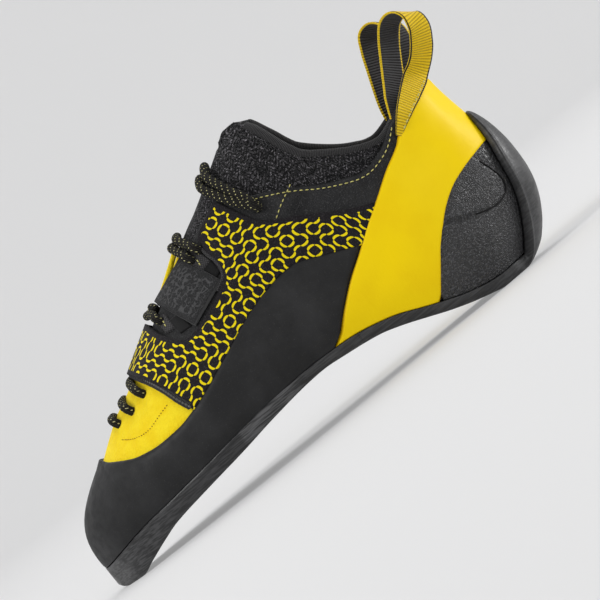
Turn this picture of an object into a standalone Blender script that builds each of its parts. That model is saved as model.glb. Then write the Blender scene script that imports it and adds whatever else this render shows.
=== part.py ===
"""Left climbing shoe: a hollow lasted upper on a split rubber sole.

Metres. The origin is the middle of the heel's flat spot on the floor. The toe points to -X, the
outer side of the foot is -Y and +Z is up. The form is a last: ribs run from the sole line around
the shoe up to the ridge of the instep or the rim of the collar, and every layer is a stretch of
that surface, moved out or in by its own thickness.
"""

import bmesh
import bpy
import numpy as np

SHOE_LENGTH = 0.250
BALL_WIDTH = 0.080
INSTEP_HEIGHT = 0.125
HEEL_HEIGHT = 0.090
ARCH_RISE = 0.025
HEEL_REST_ALONG = 0.864

LEATHER = 0.0018
KNIT = 0.0020
RUBBER = 0.0015
PANEL = 0.0013
TAB = 0.0016
TAB_CLEARANCE = 0.0003
INSOLE = 0.0020
SOLE_TREAD = 0.0040
HEEL_STRIP = 0.0046
STRIP_HALF_WIDTH = 0.0095
STRIP_CLEARANCE = 0.0004
GAP = 0.0005
EDGE_GAP = 0.0007
SOLE_LEDGE = 0.0004
SOLE_CHAMFER = 0.0022
SEAT_BLEND = 0.004
RAND_ARCH = 0.0003
HARNESS_ARCH = 0.0012
INSOLE_INSET = 0.0040
INSOLE_CLEARANCE = 0.0003
TONGUE_OVERLAP = 0.009
COLLAR_OVERLAP = 0.012
LACE_RADIUS = 0.0015
TAPE_WIDTH = 0.0110
TAPE = 0.0012
RIB_SAMPLES = 121

OUTER = -1
INNER = 1
SIDES = (OUTER, INNER)

# Sole line, seen from above: along is a share of the length, outer and inner are the two edges' y as
# shares of the ball width, and line is the height of the sole's upper edge as a share of the arch rise.
OUTLINE_COLUMNS = ("along", "outer", "inner", "line")
OUTLINE_ROWS = (
    (0.0104, 0.150, 0.150, 0.440),
    (0.024, 0.031, 0.262, 0.466),
    (0.052, -0.106, 0.356, 0.530),
    (0.100, -0.231, 0.431, 0.632),
    (0.168, -0.356, 0.487, 0.716),
    (0.248, -0.450, 0.512, 0.808),
    (0.328, -0.500, 0.494, 0.908),
    (0.408, -0.494, 0.419, 0.988),
    (0.488, -0.437, 0.337, 1.016),
    (0.568, -0.375, 0.281, 0.972),
    (0.648, -0.331, 0.256, 0.816),
    (0.728, -0.312, 0.269, 0.496),
    (0.792, -0.294, 0.281, 0.276),
    (0.848, -0.244, 0.244, 0.184),
    (0.888, -0.144, 0.144, 0.210),
    (0.908, 0.000, 0.000, 0.300),
)

# Underside of the sole in the side view, as shares of the length and of the arch rise.
UNDERSIDE_ROWS = (
    (0.000, 0.120),
    (0.008, 0.040),
    (0.020, 0.000),
    (0.052, 0.000),
    (0.080, 0.108),
    (0.120, 0.260),
    (0.160, 0.388),
    (0.240, 0.520),
    (0.320, 0.632),
    (0.400, 0.756),
    (0.480, 0.840),
    (0.508, 0.850),
    (0.560, 0.800),
    (0.620, 0.710),
    (0.660, 0.588),
    (0.700, 0.432),
    (0.740, 0.272),
    (0.780, 0.140),
    (0.820, 0.036),
    (0.836, 0.000),
    (0.892, 0.000),
    (0.920, 0.060),
)

# How the body swells above the sole line: how far the widest place stands out on each side, as a share
# of the ball width, how high it is, as a share of the instep, and how full the flank and the shoulder
# above it are (0.55 is a round quarter, more is squarer).
BODY_COLUMNS = ("along", "outer_swell", "inner_swell", "widest", "flank", "shoulder")
BODY_ROWS = (
    (0.0104, 0.0075, 0.0075, 0.120, 0.72, 0.72),
    (0.052, 0.010, 0.010, 0.136, 0.68, 0.68),
    (0.100, 0.019, 0.019, 0.168, 0.60, 0.60),
    (0.168, 0.025, 0.025, 0.208, 0.56, 0.52),
    (0.248, 0.031, 0.031, 0.240, 0.52, 0.48),
    (0.328, 0.035, 0.035, 0.264, 0.50, 0.44),
    (0.408, 0.040, 0.050, 0.288, 0.50, 0.40),
    (0.488, 0.045, 0.062, 0.320, 0.50, 0.38),
    (0.568, 0.050, 0.075, 0.344, 0.50, 0.36),
    (0.648, 0.062, 0.087, 0.344, 0.45, 0.35),
    (0.728, 0.075, 0.094, 0.320, 0.42, 0.35),
    (0.792, 0.087, 0.094, 0.288, 0.42, 0.35),
    (0.848, 0.112, 0.112, 0.288, 0.42, 0.35),
    (0.888, 0.162, 0.162, 0.320, 0.45, 0.35),
    (0.908, 0.200, 0.200, 0.352, 0.50, 0.35),
)

# Where each rib ends above. Along the instep both sides meet on the ridge: its place across the shoe is
# a share of the ball width and its height a share of the instep.
RIDGE_COLUMNS = ("along", "top_along", "across", "up")
RIDGE_ROWS = (
    (0.0104, 0.100, 0.150, 0.365),
    (0.100, 0.100, 0.150, 0.365),
    (0.140, 0.140, 0.141, 0.424),
    (0.180, 0.180, 0.130, 0.477),
    (0.220, 0.220, 0.115, 0.517),
    (0.260, 0.260, 0.100, 0.566),
    (0.324, 0.324, 0.081, 0.642),
    (0.400, 0.400, 0.062, 0.740),
    (0.460, 0.460, 0.047, 0.822),
    (0.520, 0.520, 0.030, 0.894),
    (0.584, 0.592, 0.011, 0.982),
    (0.598, 0.612, 0.008, 1.006),
    (0.608, 0.628, 0.005, 1.024),
)

# Around the collar the ribs end at the rim, at a height for each side as a share of the heel height.
# Open is 0 where the surface closes over the foot and 1 where it stands up as a wall.
RIM_COLUMNS = ("along", "top_along", "outer", "inner", "outer_up", "inner_up", "open")
RIM_ROWS = (
    (0.617, 0.650, -0.040, 0.044, 1.426, 1.426, 0.1),
    (0.630, 0.657, -0.110, 0.120, 1.372, 1.394, 0.4),
    (0.648, 0.667, -0.175, 0.188, 1.300, 1.350, 0.8),
    (0.672, 0.682, -0.240, 0.250, 1.194, 1.272, 1.0),
    (0.700, 0.702, -0.287, 0.300, 1.100, 1.167, 1.0),
    (0.740, 0.742, -0.325, 0.331, 1.017, 1.061, 1.0),
    (0.780, 0.784, -0.337, 0.337, 0.948, 0.978, 1.0),
    (0.820, 0.828, -0.325, 0.325, 0.911, 0.933, 1.0),
    (0.860, 0.880, -0.281, 0.281, 0.956, 0.967, 1.0),
    (0.888, 0.928, -0.175, 0.175, 1.000, 1.006, 1.0),
    (0.908, 0.951, 0.000, 0.000, 1.018, 1.018, 1.0),
)

# Half of the throat, from the ridge to the leather's edge on each side, as shares of the ball width.
THROAT_COLUMNS = ("along", "outer", "inner")
THROAT_ROWS = (
    (0.164, 0.000, 0.000),
    (0.200, 0.037, 0.020),
    (0.240, 0.056, 0.022),
    (0.324, 0.090, 0.034),
    (0.400, 0.137, 0.046),
    (0.476, 0.181, 0.058),
    (0.552, 0.187, 0.075),
)

# Leather edge at the collar, as shares of the length and of the instep height, for each side.
COLLAR_EDGE_ROWS = {
    OUTER: (
        (0.552, 0.824),
        (0.588, 0.788),
        (0.620, 0.760),
        (0.660, 0.716),
        (0.700, 0.664),
        (0.740, 0.624),
        (0.772, 0.604),
        (0.812, 0.620),
        (0.856, 0.668),
        (0.900, 0.700),
        (0.960, 0.724),
    ),
    INNER: (
        (0.552, 0.900),
        (0.588, 0.848),
        (0.620, 0.800),
        (0.660, 0.744),
        (0.700, 0.688),
        (0.740, 0.640),
        (0.772, 0.616),
        (0.812, 0.626),
        (0.856, 0.668),
        (0.900, 0.700),
        (0.960, 0.724),
    ),
}

# Edges of the overlays in the side view, as shares of the length and of the instep height.
RAND_EDGE_ROWS = (
    (0.100, 0.500),
    (0.114, 0.392),
    (0.140, 0.360),
    (0.180, 0.328),
    (0.220, 0.318),
    (0.260, 0.322),
    (0.302, 0.340),
    (0.336, 0.364),
    (0.400, 0.416),
    (0.480, 0.480),
    (0.520, 0.500),
    (0.560, 0.512),
    (0.580, 0.512),
    (0.600, 0.500),
    (0.640, 0.464),
    (0.692, 0.420),
)
BAND_FRONT_ROWS = (
    (0.546, 0.201),
    (0.568, 0.228),
    (0.600, 0.284),
    (0.640, 0.348),
    (0.680, 0.400),
    (0.720, 0.456),
    (0.760, 0.504),
    (0.800, 0.556),
    (0.840, 0.600),
    (0.852, 0.620),
    (0.880, 0.652),
    (0.920, 0.688),
    (0.958, 0.718),
)
BAND_REAR_ROWS = (
    (0.732, 0.096),
    (0.744, 0.120),
    (0.760, 0.160),
    (0.776, 0.200),
    (0.792, 0.240),
    (0.808, 0.272),
    (0.824, 0.304),
    (0.840, 0.332),
    (0.860, 0.360),
    (0.880, 0.380),
    (0.920, 0.404),
    (0.974, 0.424),
)
HARNESS_FRONT_ROWS = (
    (0.242, 0.564),
    (0.264, 0.504),
    (0.280, 0.444),
    (0.292, 0.384),
    (0.302, 0.344),
)
HARNESS_TOP_ROWS = (
    (0.324, 0.654),
    (0.336, 0.592),
    (0.348, 0.560),
    (0.368, 0.532),
    (0.420, 0.556),
    (0.464, 0.600),
    (0.476, 0.620),
    (0.484, 0.770),
    (0.512, 0.804),
    (0.546, 0.832),
    (0.556, 0.792),
    (0.568, 0.744),
    (0.580, 0.700),
    (0.608, 0.660),
    (0.648, 0.612),
    (0.688, 0.564),
    (0.728, 0.520),
    (0.752, 0.500),
)
TAB_LOWER_ROWS = (
    (0.356, 0.660),
    (0.366, 0.610),
    (0.378, 0.556),
    (0.420, 0.580),
    (0.462, 0.630),
)
TAB_UPPER_ROWS = (
    (0.352, 0.700),
    (0.380, 0.716),
    (0.436, 0.756),
    (0.452, 0.672),
    (0.464, 0.622),
)

TAB_SPAN = (0.362, 0.455)

# Lace crossings: along is a share of the length, outer and inner say how far the lace reaches down on
# each side of the ridge as shares of the ball width.
LACE_COLUMNS = ("along", "outer", "inner")
LACE_TOE_ROWS = ((0.178, 0.130, 0.070), (0.210, 0.130, 0.070), (0.238, 0.110, 0.070))
LACE_MIDDLE_ROWS = ((0.342, 0.060, 0.060), (0.440, 0.075, 0.070))
LACE_TOP_COLUMNS = ("along", "outer_up", "inner_up")
LACE_TOP_ROWS = (
    (0.586, 0.745, 0.800),
    (0.577, 0.795, 0.840),
    (0.567, 0.840, 0.875),
    (0.558, 0.885, 0.908),
    (0.552, 0.920, 0.926),
)

# Pull loops, as offsets of the tape's middle line from its foot, in metres, for each side.
LOOP_ROWS = {
    OUTER: (
        (0.0000, 0.0000),
        (0.0035, 0.0110),
        (0.0106, 0.0220),
        (0.0199, 0.0295),
        (0.0282, 0.0315),
        (0.0360, 0.0275),
        (0.0380, 0.0195),
        (0.0310, 0.0120),
        (0.0210, 0.0065),
        (0.0120, 0.0028),
    ),
    INNER: (
        (0.0000, 0.0000),
        (0.0015, 0.0090),
        (0.0055, 0.0195),
        (0.0115, 0.0280),
        (0.0180, 0.0320),
        (0.0265, 0.0312),
        (0.0300, 0.0245),
        (0.0270, 0.0165),
        (0.0200, 0.0090),
        (0.0120, 0.0032),
    ),
}
LOOP_FEET = {OUTER: (0.876, -0.215, 0.6963), INNER: (0.868, 0.232, 0.7018)}
LOOP_TURN = 0.55


def column(rows, names, name):
    """Return one named column of a table as an array."""
    return np.array([row[names.index(name)] for row in rows], float)


def steady(x, y):
    """Return a smooth curve through the points (x, y) that never overshoots them.

    Each stretch is a cubic whose end slopes are the harmonic mean of the slopes beside the point,
    and zero where the slopes change sign.
    """
    step = np.diff(x)
    rise = np.diff(y) / step
    same = rise[:-1] * rise[1:] > 0
    mean = 2 * rise[:-1] * rise[1:] / np.where(same, rise[:-1] + rise[1:], 1.0)
    slope = np.concatenate([rise[:1], np.where(same, mean, 0.0), rise[-1:]])

    def at(where):
        where = np.clip(np.asarray(where, float), x[0], x[-1])
        i = np.clip(np.searchsorted(x, where, side="right") - 1, 0, len(x) - 2)
        u = (where - x[i]) / step[i]
        return (
            (2 * u**3 - 3 * u**2 + 1) * y[i]
            + (u**3 - 2 * u**2 + u) * step[i] * slope[i]
            + (3 * u**2 - 2 * u**3) * y[i + 1]
            + (u**3 - u**2) * step[i] * slope[i + 1]
        )

    return at


def closed_spline(points):
    """Return a closed cubic spline through the points, and its parameter at each of them.

    The parameter is the length of the straight lines between the points. The slopes solve the usual
    system in which each cubic meets the next with the same curvature.
    """
    count = len(points)
    gaps = np.linalg.norm(np.roll(points, -1, axis=0) - points, axis=1)
    knots = np.concatenate([[0.0], np.cumsum(gaps)])
    system = np.zeros((count, count))
    right = np.zeros_like(points)
    for i in range(count):
        before = gaps[i - 1]
        after = gaps[i]
        system[i, i - 1] += after
        system[i, i] += 2 * (before + after)
        system[i, (i + 1) % count] += before
        right[i] = 3 * (
            after * (points[i] - points[i - 1]) / before
            + before * (points[(i + 1) % count] - points[i]) / after
        )
    slopes = np.linalg.solve(system, right)

    def at(t):
        t = np.mod(np.asarray(t, float), knots[-1])
        i = np.clip(np.searchsorted(knots, t, side="right") - 1, 0, count - 1)
        j = (i + 1) % count
        h = gaps[i][..., None]
        u = ((t - knots[i]) / gaps[i])[..., None]
        return (
            (2 * u**3 - 3 * u**2 + 1) * points[i]
            + (u**3 - 2 * u**2 + u) * h * slopes[i]
            + (3 * u**2 - 2 * u**3) * points[j]
            + (u**3 - u**2) * h * slopes[j]
        )

    return at, knots


def table_curve(rows, names, name, size):
    """Return a smooth curve for one column of a table, in metres along the shoe and in its size."""
    return steady(column(rows, names, "along") * SHOE_LENGTH, column(rows, names, name) * size)


def edge_curve(rows, size=INSTEP_HEIGHT):
    """Return an edge in the side view: height over the way along the shoe, both in metres."""
    points = np.array(rows, float)
    return steady(points[:, 0] * SHOE_LENGTH, points[:, 1] * size)


class Last:
    """The shoe's outer leather surface, as ribs between the sole line and the ridge or rim."""

    def __init__(self):
        along = column(OUTLINE_ROWS, OUTLINE_COLUMNS, "along") * SHOE_LENGTH
        outer = column(OUTLINE_ROWS, OUTLINE_COLUMNS, "outer") * BALL_WIDTH
        inner = column(OUTLINE_ROWS, OUTLINE_COLUMNS, "inner") * BALL_WIDTH
        loop = np.concatenate(
            [np.stack([along, outer], axis=1), np.stack([along, inner], axis=1)[-2:0:-1]]
        )
        self.plan, knots = closed_spline(loop)
        self.heel_t = knots[len(along) - 1]
        self.full_t = knots[-1]
        self.pole = RIDGE_ROWS[1][0] * SHOE_LENGTH
        self.heel_turn = 0.82 * SHOE_LENGTH
        self.line = table_curve(OUTLINE_ROWS, OUTLINE_COLUMNS, "line", ARCH_RISE)
        self.swell = {
            OUTER: table_curve(BODY_ROWS, BODY_COLUMNS, "outer_swell", BALL_WIDTH),
            INNER: table_curve(BODY_ROWS, BODY_COLUMNS, "inner_swell", BALL_WIDTH),
        }
        self.widest = table_curve(BODY_ROWS, BODY_COLUMNS, "widest", INSTEP_HEIGHT)
        self.flank = table_curve(BODY_ROWS, BODY_COLUMNS, "flank", 1.0)
        self.shoulder = table_curve(BODY_ROWS, BODY_COLUMNS, "shoulder", 1.0)
        self.top_along = self.joined("top_along", "top_along", SHOE_LENGTH, SHOE_LENGTH)
        self.top_across = {
            OUTER: self.joined("across", "outer", BALL_WIDTH, BALL_WIDTH),
            INNER: self.joined("across", "inner", BALL_WIDTH, BALL_WIDTH),
        }
        self.top_up = {
            OUTER: self.joined("up", "outer_up", INSTEP_HEIGHT, HEEL_HEIGHT),
            INNER: self.joined("up", "inner_up", INSTEP_HEIGHT, HEEL_HEIGHT),
        }
        along = np.concatenate(
            [column(RIDGE_ROWS, RIDGE_COLUMNS, "along"), column(RIM_ROWS, RIM_COLUMNS, "along")]
        )
        opens = np.concatenate(
            [np.zeros(len(RIDGE_ROWS)), column(RIM_ROWS, RIM_COLUMNS, "open")]
        )
        self.open = steady(along * SHOE_LENGTH, opens)
        self.ways = {side: self.way_table(side) for side in SIDES}

    def joined(self, ridge_name, rim_name, ridge_size, rim_size):
        """Return one smooth curve through a ridge column and the rim column that goes on from it."""
        along = np.concatenate(
            [column(RIDGE_ROWS, RIDGE_COLUMNS, "along"), column(RIM_ROWS, RIM_COLUMNS, "along")]
        )
        values = np.concatenate(
            [
                column(RIDGE_ROWS, RIDGE_COLUMNS, ridge_name) * ridge_size,
                column(RIM_ROWS, RIM_COLUMNS, rim_name) * rim_size,
            ]
        )
        return steady(along * SHOE_LENGTH, values)

    def way_table(self, side):
        """Return spline parameters and their ways along the shoe, from toe to heel on one side."""
        share = np.linspace(0.0, 1.0, 2001)
        reach = self.heel_t if side == OUTER else self.heel_t - self.full_t
        t = share * reach
        along = np.maximum.accumulate(self.plan(t)[:, 0] + share * 1e-9)
        return t, along

    def station(self, side, q):
        """Turn a station number into the spline's parameter.

        Stations 0 to 1 fan around the toe, 1 to 2 are planes across the shoe, and 2 to 3 fan around
        the heel.
        """
        t, along = self.ways[side]
        toe = np.interp(self.pole, along, t)
        heel = np.interp(self.heel_turn, along, t)
        q = np.asarray(q, float)
        middle = np.interp(self.pole + (q - 1) * (self.heel_turn - self.pole), along, t)
        fans = np.where(q < 1, q * toe, heel + (q - 2) * (t[-1] - heel))
        return np.where((q >= 1) & (q <= 2), middle, fans)

    def number(self, side, share):
        """Return the station number of the rib whose foot is at a share of the length."""
        along = share * SHOE_LENGTH
        if self.pole <= along <= self.heel_turn:
            return 1 + (along - self.pole) / (self.heel_turn - self.pole)
        numbers = np.linspace(0.0, 1.0, 401) + (0 if along < self.pole else 2)
        return float(np.interp(along, self.plan(self.station(side, numbers))[:, 0], numbers))

    def points(self, side, q, v):
        """Return points of the surface at station numbers q and heights v, from 0 below to 1 above.

        A rib is two cubic arcs: one from the sole line out to the widest place, one from there in
        to the ridge or up to the rim. The share of v below the widest place is fixed.
        """
        q, v = np.broadcast_arrays(np.asarray(q, float), np.asarray(v, float))
        t = self.station(side, q)
        foot = self.plan(t)
        small = 1e-5
        run = self.plan(t + small) - self.plan(t - small)
        run /= np.linalg.norm(run, axis=-1, keepdims=True)
        out = np.stack([run[..., 1], -run[..., 0]], axis=-1)
        along = foot[..., 0]
        low = self.line(along) + SOLE_LEDGE
        wide = foot + out * self.swell[side](along)[..., None]
        high = np.maximum(self.widest(along), low + 0.002)
        top = np.stack([self.top_along(along), self.top_across[side](along)], axis=-1)
        peak = np.maximum(self.top_up[side](along), high + 0.002)
        lean = self.open(along)[..., None]
        flank = self.flank(along)
        shoulder = self.shoulder(along)
        ridge_slope = 0.62 * (1 - lean[..., 0])

        def arc(u, p0, p1, p2, p3):
            u = u[..., None] if p0.ndim > u.ndim else u
            return (1 - u) ** 3 * p0 + 3 * u * (1 - u) ** 2 * p1 + 3 * u**2 * (1 - u) * p2 + u**3 * p3

        below = np.clip(v / LOWER_SHARE, 0, 1)
        above = np.clip((v - LOWER_SHARE) / (1 - LOWER_SHARE), 0, 1)
        low_plan = arc(below, foot, foot + 0.6 * (wide - foot), wide, wide)
        low_up = arc(below, low, low + 0.3 * (high - low), high - 0.5 * (high - low), high)
        inward = top + shoulder[..., None] * (wide - top)
        high_plan = arc(above, wide, wide, (1 - lean) * inward + lean * top, top)
        drop = (inward[..., 0] - top[..., 0]) * ridge_slope
        flat_up = peak + drop
        wall_up = peak - shoulder * (peak - high)
        handle = (1 - lean[..., 0]) * flat_up + lean[..., 0] * wall_up
        high_up = arc(above, high, high + flank * (peak + drop - high), handle, peak)
        is_low = v <= LOWER_SHARE
        plan = np.where(is_low[..., None], low_plan, high_plan)
        up = np.where(is_low, low_up, high_up)
        return np.concatenate([plan, up[..., None]], axis=-1)

    def normals(self, side, q, v):
        """Return outward unit normals, from the surface's slopes along and up the ribs."""
        q, v = np.broadcast_arrays(np.asarray(q, float), np.asarray(v, float))
        v = np.clip(v, 0.004, 0.975)
        step = 0.003
        forth = np.clip(q, step, 3 - step)
        along = self.points(side, forth + step, v) - self.points(side, forth - step, v)
        up = self.points(side, q, v + step) - self.points(side, q, v - step)
        normal = np.cross(along, up) * (-side)
        return normal / np.maximum(np.linalg.norm(normal, axis=-1, keepdims=True), 1e-12)

    def height(self, side, q, edge, shift=0.0):
        """Return the v at which each rib crosses an edge drawn in the side view."""
        samples = np.linspace(0.0, 1.0, RIB_SAMPLES)
        found = []
        for number in np.atleast_1d(q):
            rib = self.points(side, np.full(RIB_SAMPLES, number), samples)
            over = rib[:, 2] - edge(rib[:, 0]) - shift
            above = np.nonzero(over >= 0)[0]
            if len(above) == 0:
                found.append(1.0)
            elif above[0] == 0:
                found.append(0.0)
            else:
                k = above[0]
                share = -over[k - 1] / (over[k] - over[k - 1])
                found.append(samples[k - 1] + share * (samples[k] - samples[k - 1]))
        return np.array(found)

    def beside_ridge(self, side, q, reach):
        """Return the v at which each rib is a given way across from the ridge."""
        samples = np.linspace(LOWER_SHARE, 1.0, RIB_SAMPLES)
        found = []
        for number, away in zip(np.atleast_1d(q), np.broadcast_to(reach, np.shape(np.atleast_1d(q)))):
            rib = self.points(side, np.full(RIB_SAMPLES, number), samples)
            across = np.abs(rib[:, 1] - rib[-1, 1])
            found.append(float(np.interp(-away, -across, samples)))
        return np.array(found)


LOWER_SHARE = 0.28


def grid(last, side, q, low, high, rows, seated=False, arch=0.0):
    """Return a stretch of the last as a grid of points and of the ways in which it is thickened.

    Rows run from the height low to the height high on each rib. A seated stretch is cut level
    where it stands on the sole: near the sole line it moves sideways only. An arched one stands
    that much further off at the ridge.
    """
    share = np.linspace(0.0, 1.0, rows + 1)
    v = low[:, None] + (high - low)[:, None] * share
    numbers = np.repeat(np.asarray(q, float)[:, None], rows + 1, axis=1)
    points = last.points(side, numbers, v)
    ways = last.normals(side, numbers, v)
    if seated:
        feet = last.points(side, numbers, np.zeros_like(v))
        near = np.clip(1 - (points[..., 2] - feet[..., 2]) / SEAT_BLEND, 0, 1)[..., None]
        flat = ways * (1, 1, 0)
        flat /= np.maximum((flat**2).sum(axis=-1, keepdims=True), 0.2)
        ways = near * flat + (1 - near) * ways
    near_top = np.clip((v - 0.9) / 0.1, 0, 1)[..., None]
    ridge = [last.normals(s, np.maximum(numbers, 1), np.ones_like(v)) for s in SIDES]
    lifted = (1 - near_top) * ways + near_top * (ridge[0] + ridge[1]) / 2
    lift = np.reshape(arch, (-1, 1)) * np.clip((v - 0.5) / 0.25, 0, 1)
    return points + lifted * lift[..., None], ways


def faces_of(shape, start):
    """Return the quads of a grid whose first point has the index start."""
    index = start + np.arange(shape[0] * shape[1]).reshape(shape)
    quads = np.stack([index[:-1, :-1], index[1:, :-1], index[1:, 1:], index[:-1, 1:]], axis=-1)
    return quads.reshape(-1, 4)


def shell(name, grids, inside, outside, material):
    """Make one closed solid from grids that share edges, between two distances from the last."""
    points = np.concatenate([g[0].reshape(-1, 3) for g in grids])
    ways = np.concatenate([g[1].reshape(-1, 3) for g in grids])
    quads = []
    start = 0
    for g in grids:
        quads.append(faces_of(g[0].shape[:2], start))
        start += g[0].shape[0] * g[0].shape[1]
    quads = np.concatenate(quads)
    keys = np.round(points / 2e-6).astype(np.int64)
    _, first, index = np.unique(keys, axis=0, return_index=True, return_inverse=True)
    index = index.reshape(-1)
    summed = np.zeros((len(first), 3))
    np.add.at(summed, index, ways)
    counts = np.bincount(index)[:, None]
    ways = summed / counts
    points = points[first]
    faces = []
    for quad in index[quads]:
        face = [a for k, a in enumerate(quad) if a != quad[k - 1]]
        if len(face) < 3 or len(set(face)) < len(face):
            continue
        p = points[face]
        normal = np.cross(p[1] - p[0], p[2] - p[0]) + np.cross(p[2] - p[0], p[-1] - p[0])
        if normal @ ways[face].sum(axis=0) < 0:
            face = face[::-1]
        faces.append([int(a) for a in face])
    count = len(points)
    edges = {}
    for face in faces:
        for a, b in zip(face, face[1:] + face[:1]):
            edges[(a, b)] = True
    solid = list(faces)
    solid += [[a + count for a in face[::-1]] for face in faces]
    solid += [[b, a, a + count, b + count] for a, b in edges if (b, a) not in edges]
    both = np.concatenate([points + ways * outside, points + ways * inside])
    return add_mesh(name, both, solid, material)


def add_mesh(name, points, faces, material):
    """Add a mesh object, moved from the way along the shoe to the origin under the heel."""
    shifted = np.array(points, float) - (HEEL_REST_ALONG * SHOE_LENGTH, 0, 0)
    mesh = bpy.data.meshes.new(name)
    mesh.from_pydata([tuple(p) for p in shifted], [], [tuple(f) for f in faces])
    work = bmesh.new()
    work.from_mesh(mesh)
    bmesh.ops.remove_doubles(work, verts=work.verts, dist=2e-6)
    bmesh.ops.dissolve_degenerate(work, edges=work.edges, dist=2e-6)
    loose = [v for v in work.verts if not v.link_faces]
    bmesh.ops.delete(work, geom=loose, context="VERTS")
    bmesh.ops.recalc_face_normals(work, faces=work.faces)
    bmesh.ops.triangulate(work, faces=work.faces)
    work.to_mesh(mesh)
    work.free()
    mesh.materials.append(material)
    mesh.shade_smooth()
    mesh.set_sharp_from_angle(angle=0.6)
    made = bpy.data.objects.new(name, mesh)
    bpy.context.scene.collection.objects.link(made)
    return made


def material(name, colour, roughness):
    """Return a plain Principled material."""
    made = bpy.data.materials.new(name)
    made.use_nodes = True
    shader = made.node_tree.nodes["Principled BSDF"]
    shader.inputs["Base Color"].default_value = (*colour, 1.0)
    shader.inputs["Roughness"].default_value = roughness
    shader.inputs["Metallic"].default_value = 0.0
    return made


def numbers_between(last, side, first, final, count):
    """Return evenly spaced station numbers between two shares of the length."""
    return np.linspace(last.number(side, first), last.number(side, final), count + 1)


def all_stations():
    """Return the station numbers of a full side: toe fan, planes and heel fan."""
    return np.concatenate(
        [np.linspace(0, 1, 6)[:-1], [1.0, 1.025], np.linspace(1, 2, 20)[1:-1], np.linspace(2, 3, 7)]
    )


def shares_of(last, side, q):
    """Return how far along the shoe the feet of the ribs stand, as shares of its length."""
    return last.plan(last.station(side, q))[..., 0] / SHOE_LENGTH


def throat_height(last, side, q):
    """Return the v of the leather's upper edge: ridge, throat, then collar."""
    name = "outer" if side == OUTER else "inner"
    half = table_curve(THROAT_ROWS, THROAT_COLUMNS, name, BALL_WIDTH)
    collar = edge_curve(COLLAR_EDGE_ROWS[side])
    share = shares_of(last, side, q)
    beside = last.beside_ridge(side, q, half(share * SHOE_LENGTH))
    around = last.height(side, q, collar)
    start = THROAT_ROWS[0][0] + 1e-6
    end = THROAT_ROWS[-1][0]
    return np.where(share <= start, 1.0, np.where(share <= end, beside, around))


def make_upper(last, leather):
    """Hollow shell of suede and leather, open at the throat, the collar and underneath."""
    grids = []
    for side in SIDES:
        q = all_stations()
        grids.append(grid(last, side, q, np.zeros(len(q)), throat_height(last, side, q), 11, True))
    return shell("upper", grids, -LEATHER, 0.0, leather)


def sock_lower(last, side, q):
    """Return the v of the hidden lower edge of the tongue and collar."""
    name = "outer" if side == OUTER else "inner"
    half = table_curve(THROAT_ROWS, THROAT_COLUMNS, name, BALL_WIDTH)
    collar = edge_curve(COLLAR_EDGE_ROWS[side])
    share = shares_of(last, side, q)
    strip = last.beside_ridge(side, q, half(share * SHOE_LENGTH) + TONGUE_OVERLAP)
    around = last.height(side, q, collar, -COLLAR_OVERLAP)
    return np.where(share <= THROAT_ROWS[-1][0], strip, around)


def make_tongue_collar(last, knit):
    """Knitted tongue under the throat and sock collar around the ankle, in one piece."""
    grids = []
    front = THROAT_ROWS[0][0] - 0.02
    for side in SIDES:
        q = all_stations()
        start = last.number(side, front)
        q = np.concatenate([[start], q[q > start + 0.02]])
        grids.append(grid(last, side, q, sock_lower(last, side, q), np.ones(len(q)), 6))
    deep = LEATHER + GAP
    return shell("tongue_collar", grids, -deep - KNIT, -deep, knit)


def base_edge(last, side, q, outward):
    """Return the sole line moved sideways by a layer that stands outward on the last."""
    q = np.atleast_1d(np.asarray(q, float))
    points, ways = grid(last, side, q, np.zeros(len(q)), np.ones(len(q)), 1, True)
    return points[:, 0] + ways[:, 0] * outward


def edge_at(last, along, outward):
    """Return the y of the outer and inner edges of the moved sole line at ways along the shoe."""
    edges = []
    for side in SIDES:
        line = base_edge(last, side, np.linspace(0, 3, 601), outward)
        order = np.argsort(line[:, 0])
        edges.append(np.interp(along, line[order, 0], line[order, 1]))
    return edges


def box_faces(rows, columns):
    """Return the faces of a closed loft of four grids: top, inner side, bottom and outer side."""
    ring = len(columns)
    faces = []
    for i in range(rows - 1):
        for j in range(ring):
            a = i * ring + j
            b = i * ring + (j + 1) % ring
            faces.append([a, b, b + ring, a + ring])
    faces.append(list(range(ring))[::-1])
    faces.append([(rows - 1) * ring + j for j in range(ring)])
    return faces


def sole_section(outer, inner, x, top, bottom, chamfer, count=4):
    """Return the points of one cross-section of the sole, around from its outer upper edge.

    The upper face is level, the sides fall to a shoulder and then lean in by the chamfer to the
    flat underside.
    """
    share = np.linspace(0.0, 1.0, count + 1)
    width = inner - outer
    lean = min(chamfer, 0.3 * width)
    shoulder = bottom + 0.45 * (top - bottom)
    over = [(x, outer + width * s, top) for s in share]
    under = [(x, inner - lean - (width - 2 * lean) * s, bottom) for s in share]
    return over + [(x, inner - 0.2 * lean, shoulder)] + under + [(x, outer + 0.2 * lean, shoulder)]


def make_front_outsole(last, rubber, under):
    """Toe and arch sole: a loft of level sections from the tip to the arch."""
    outward = GAP + RUBBER + SOLE_LEDGE
    tip = min(base_edge(last, side, [0.0], outward)[0, 0] for side in SIDES)
    joint = SOLE_JOINT * SHOE_LENGTH
    x = np.concatenate([tip + np.array([0.00004, 0.0008, 0.0024, 0.0048]), SOLE_SHARES * SHOE_LENGTH])
    x = np.append(x[x < joint - 0.001], joint - GAP)
    outer, inner = edge_at(last, x, outward)
    sections = []
    for k, way in enumerate(x):
        top = float(last.line(way))
        bottom = min(float(under(way)), top - 0.0025)
        sections.append(sole_section(outer[k], inner[k], way, top, bottom, SOLE_CHAMFER))
    points = np.concatenate(sections)
    return add_mesh("front_outsole", points, box_faces(len(x), sections[0]), rubber)


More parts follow.
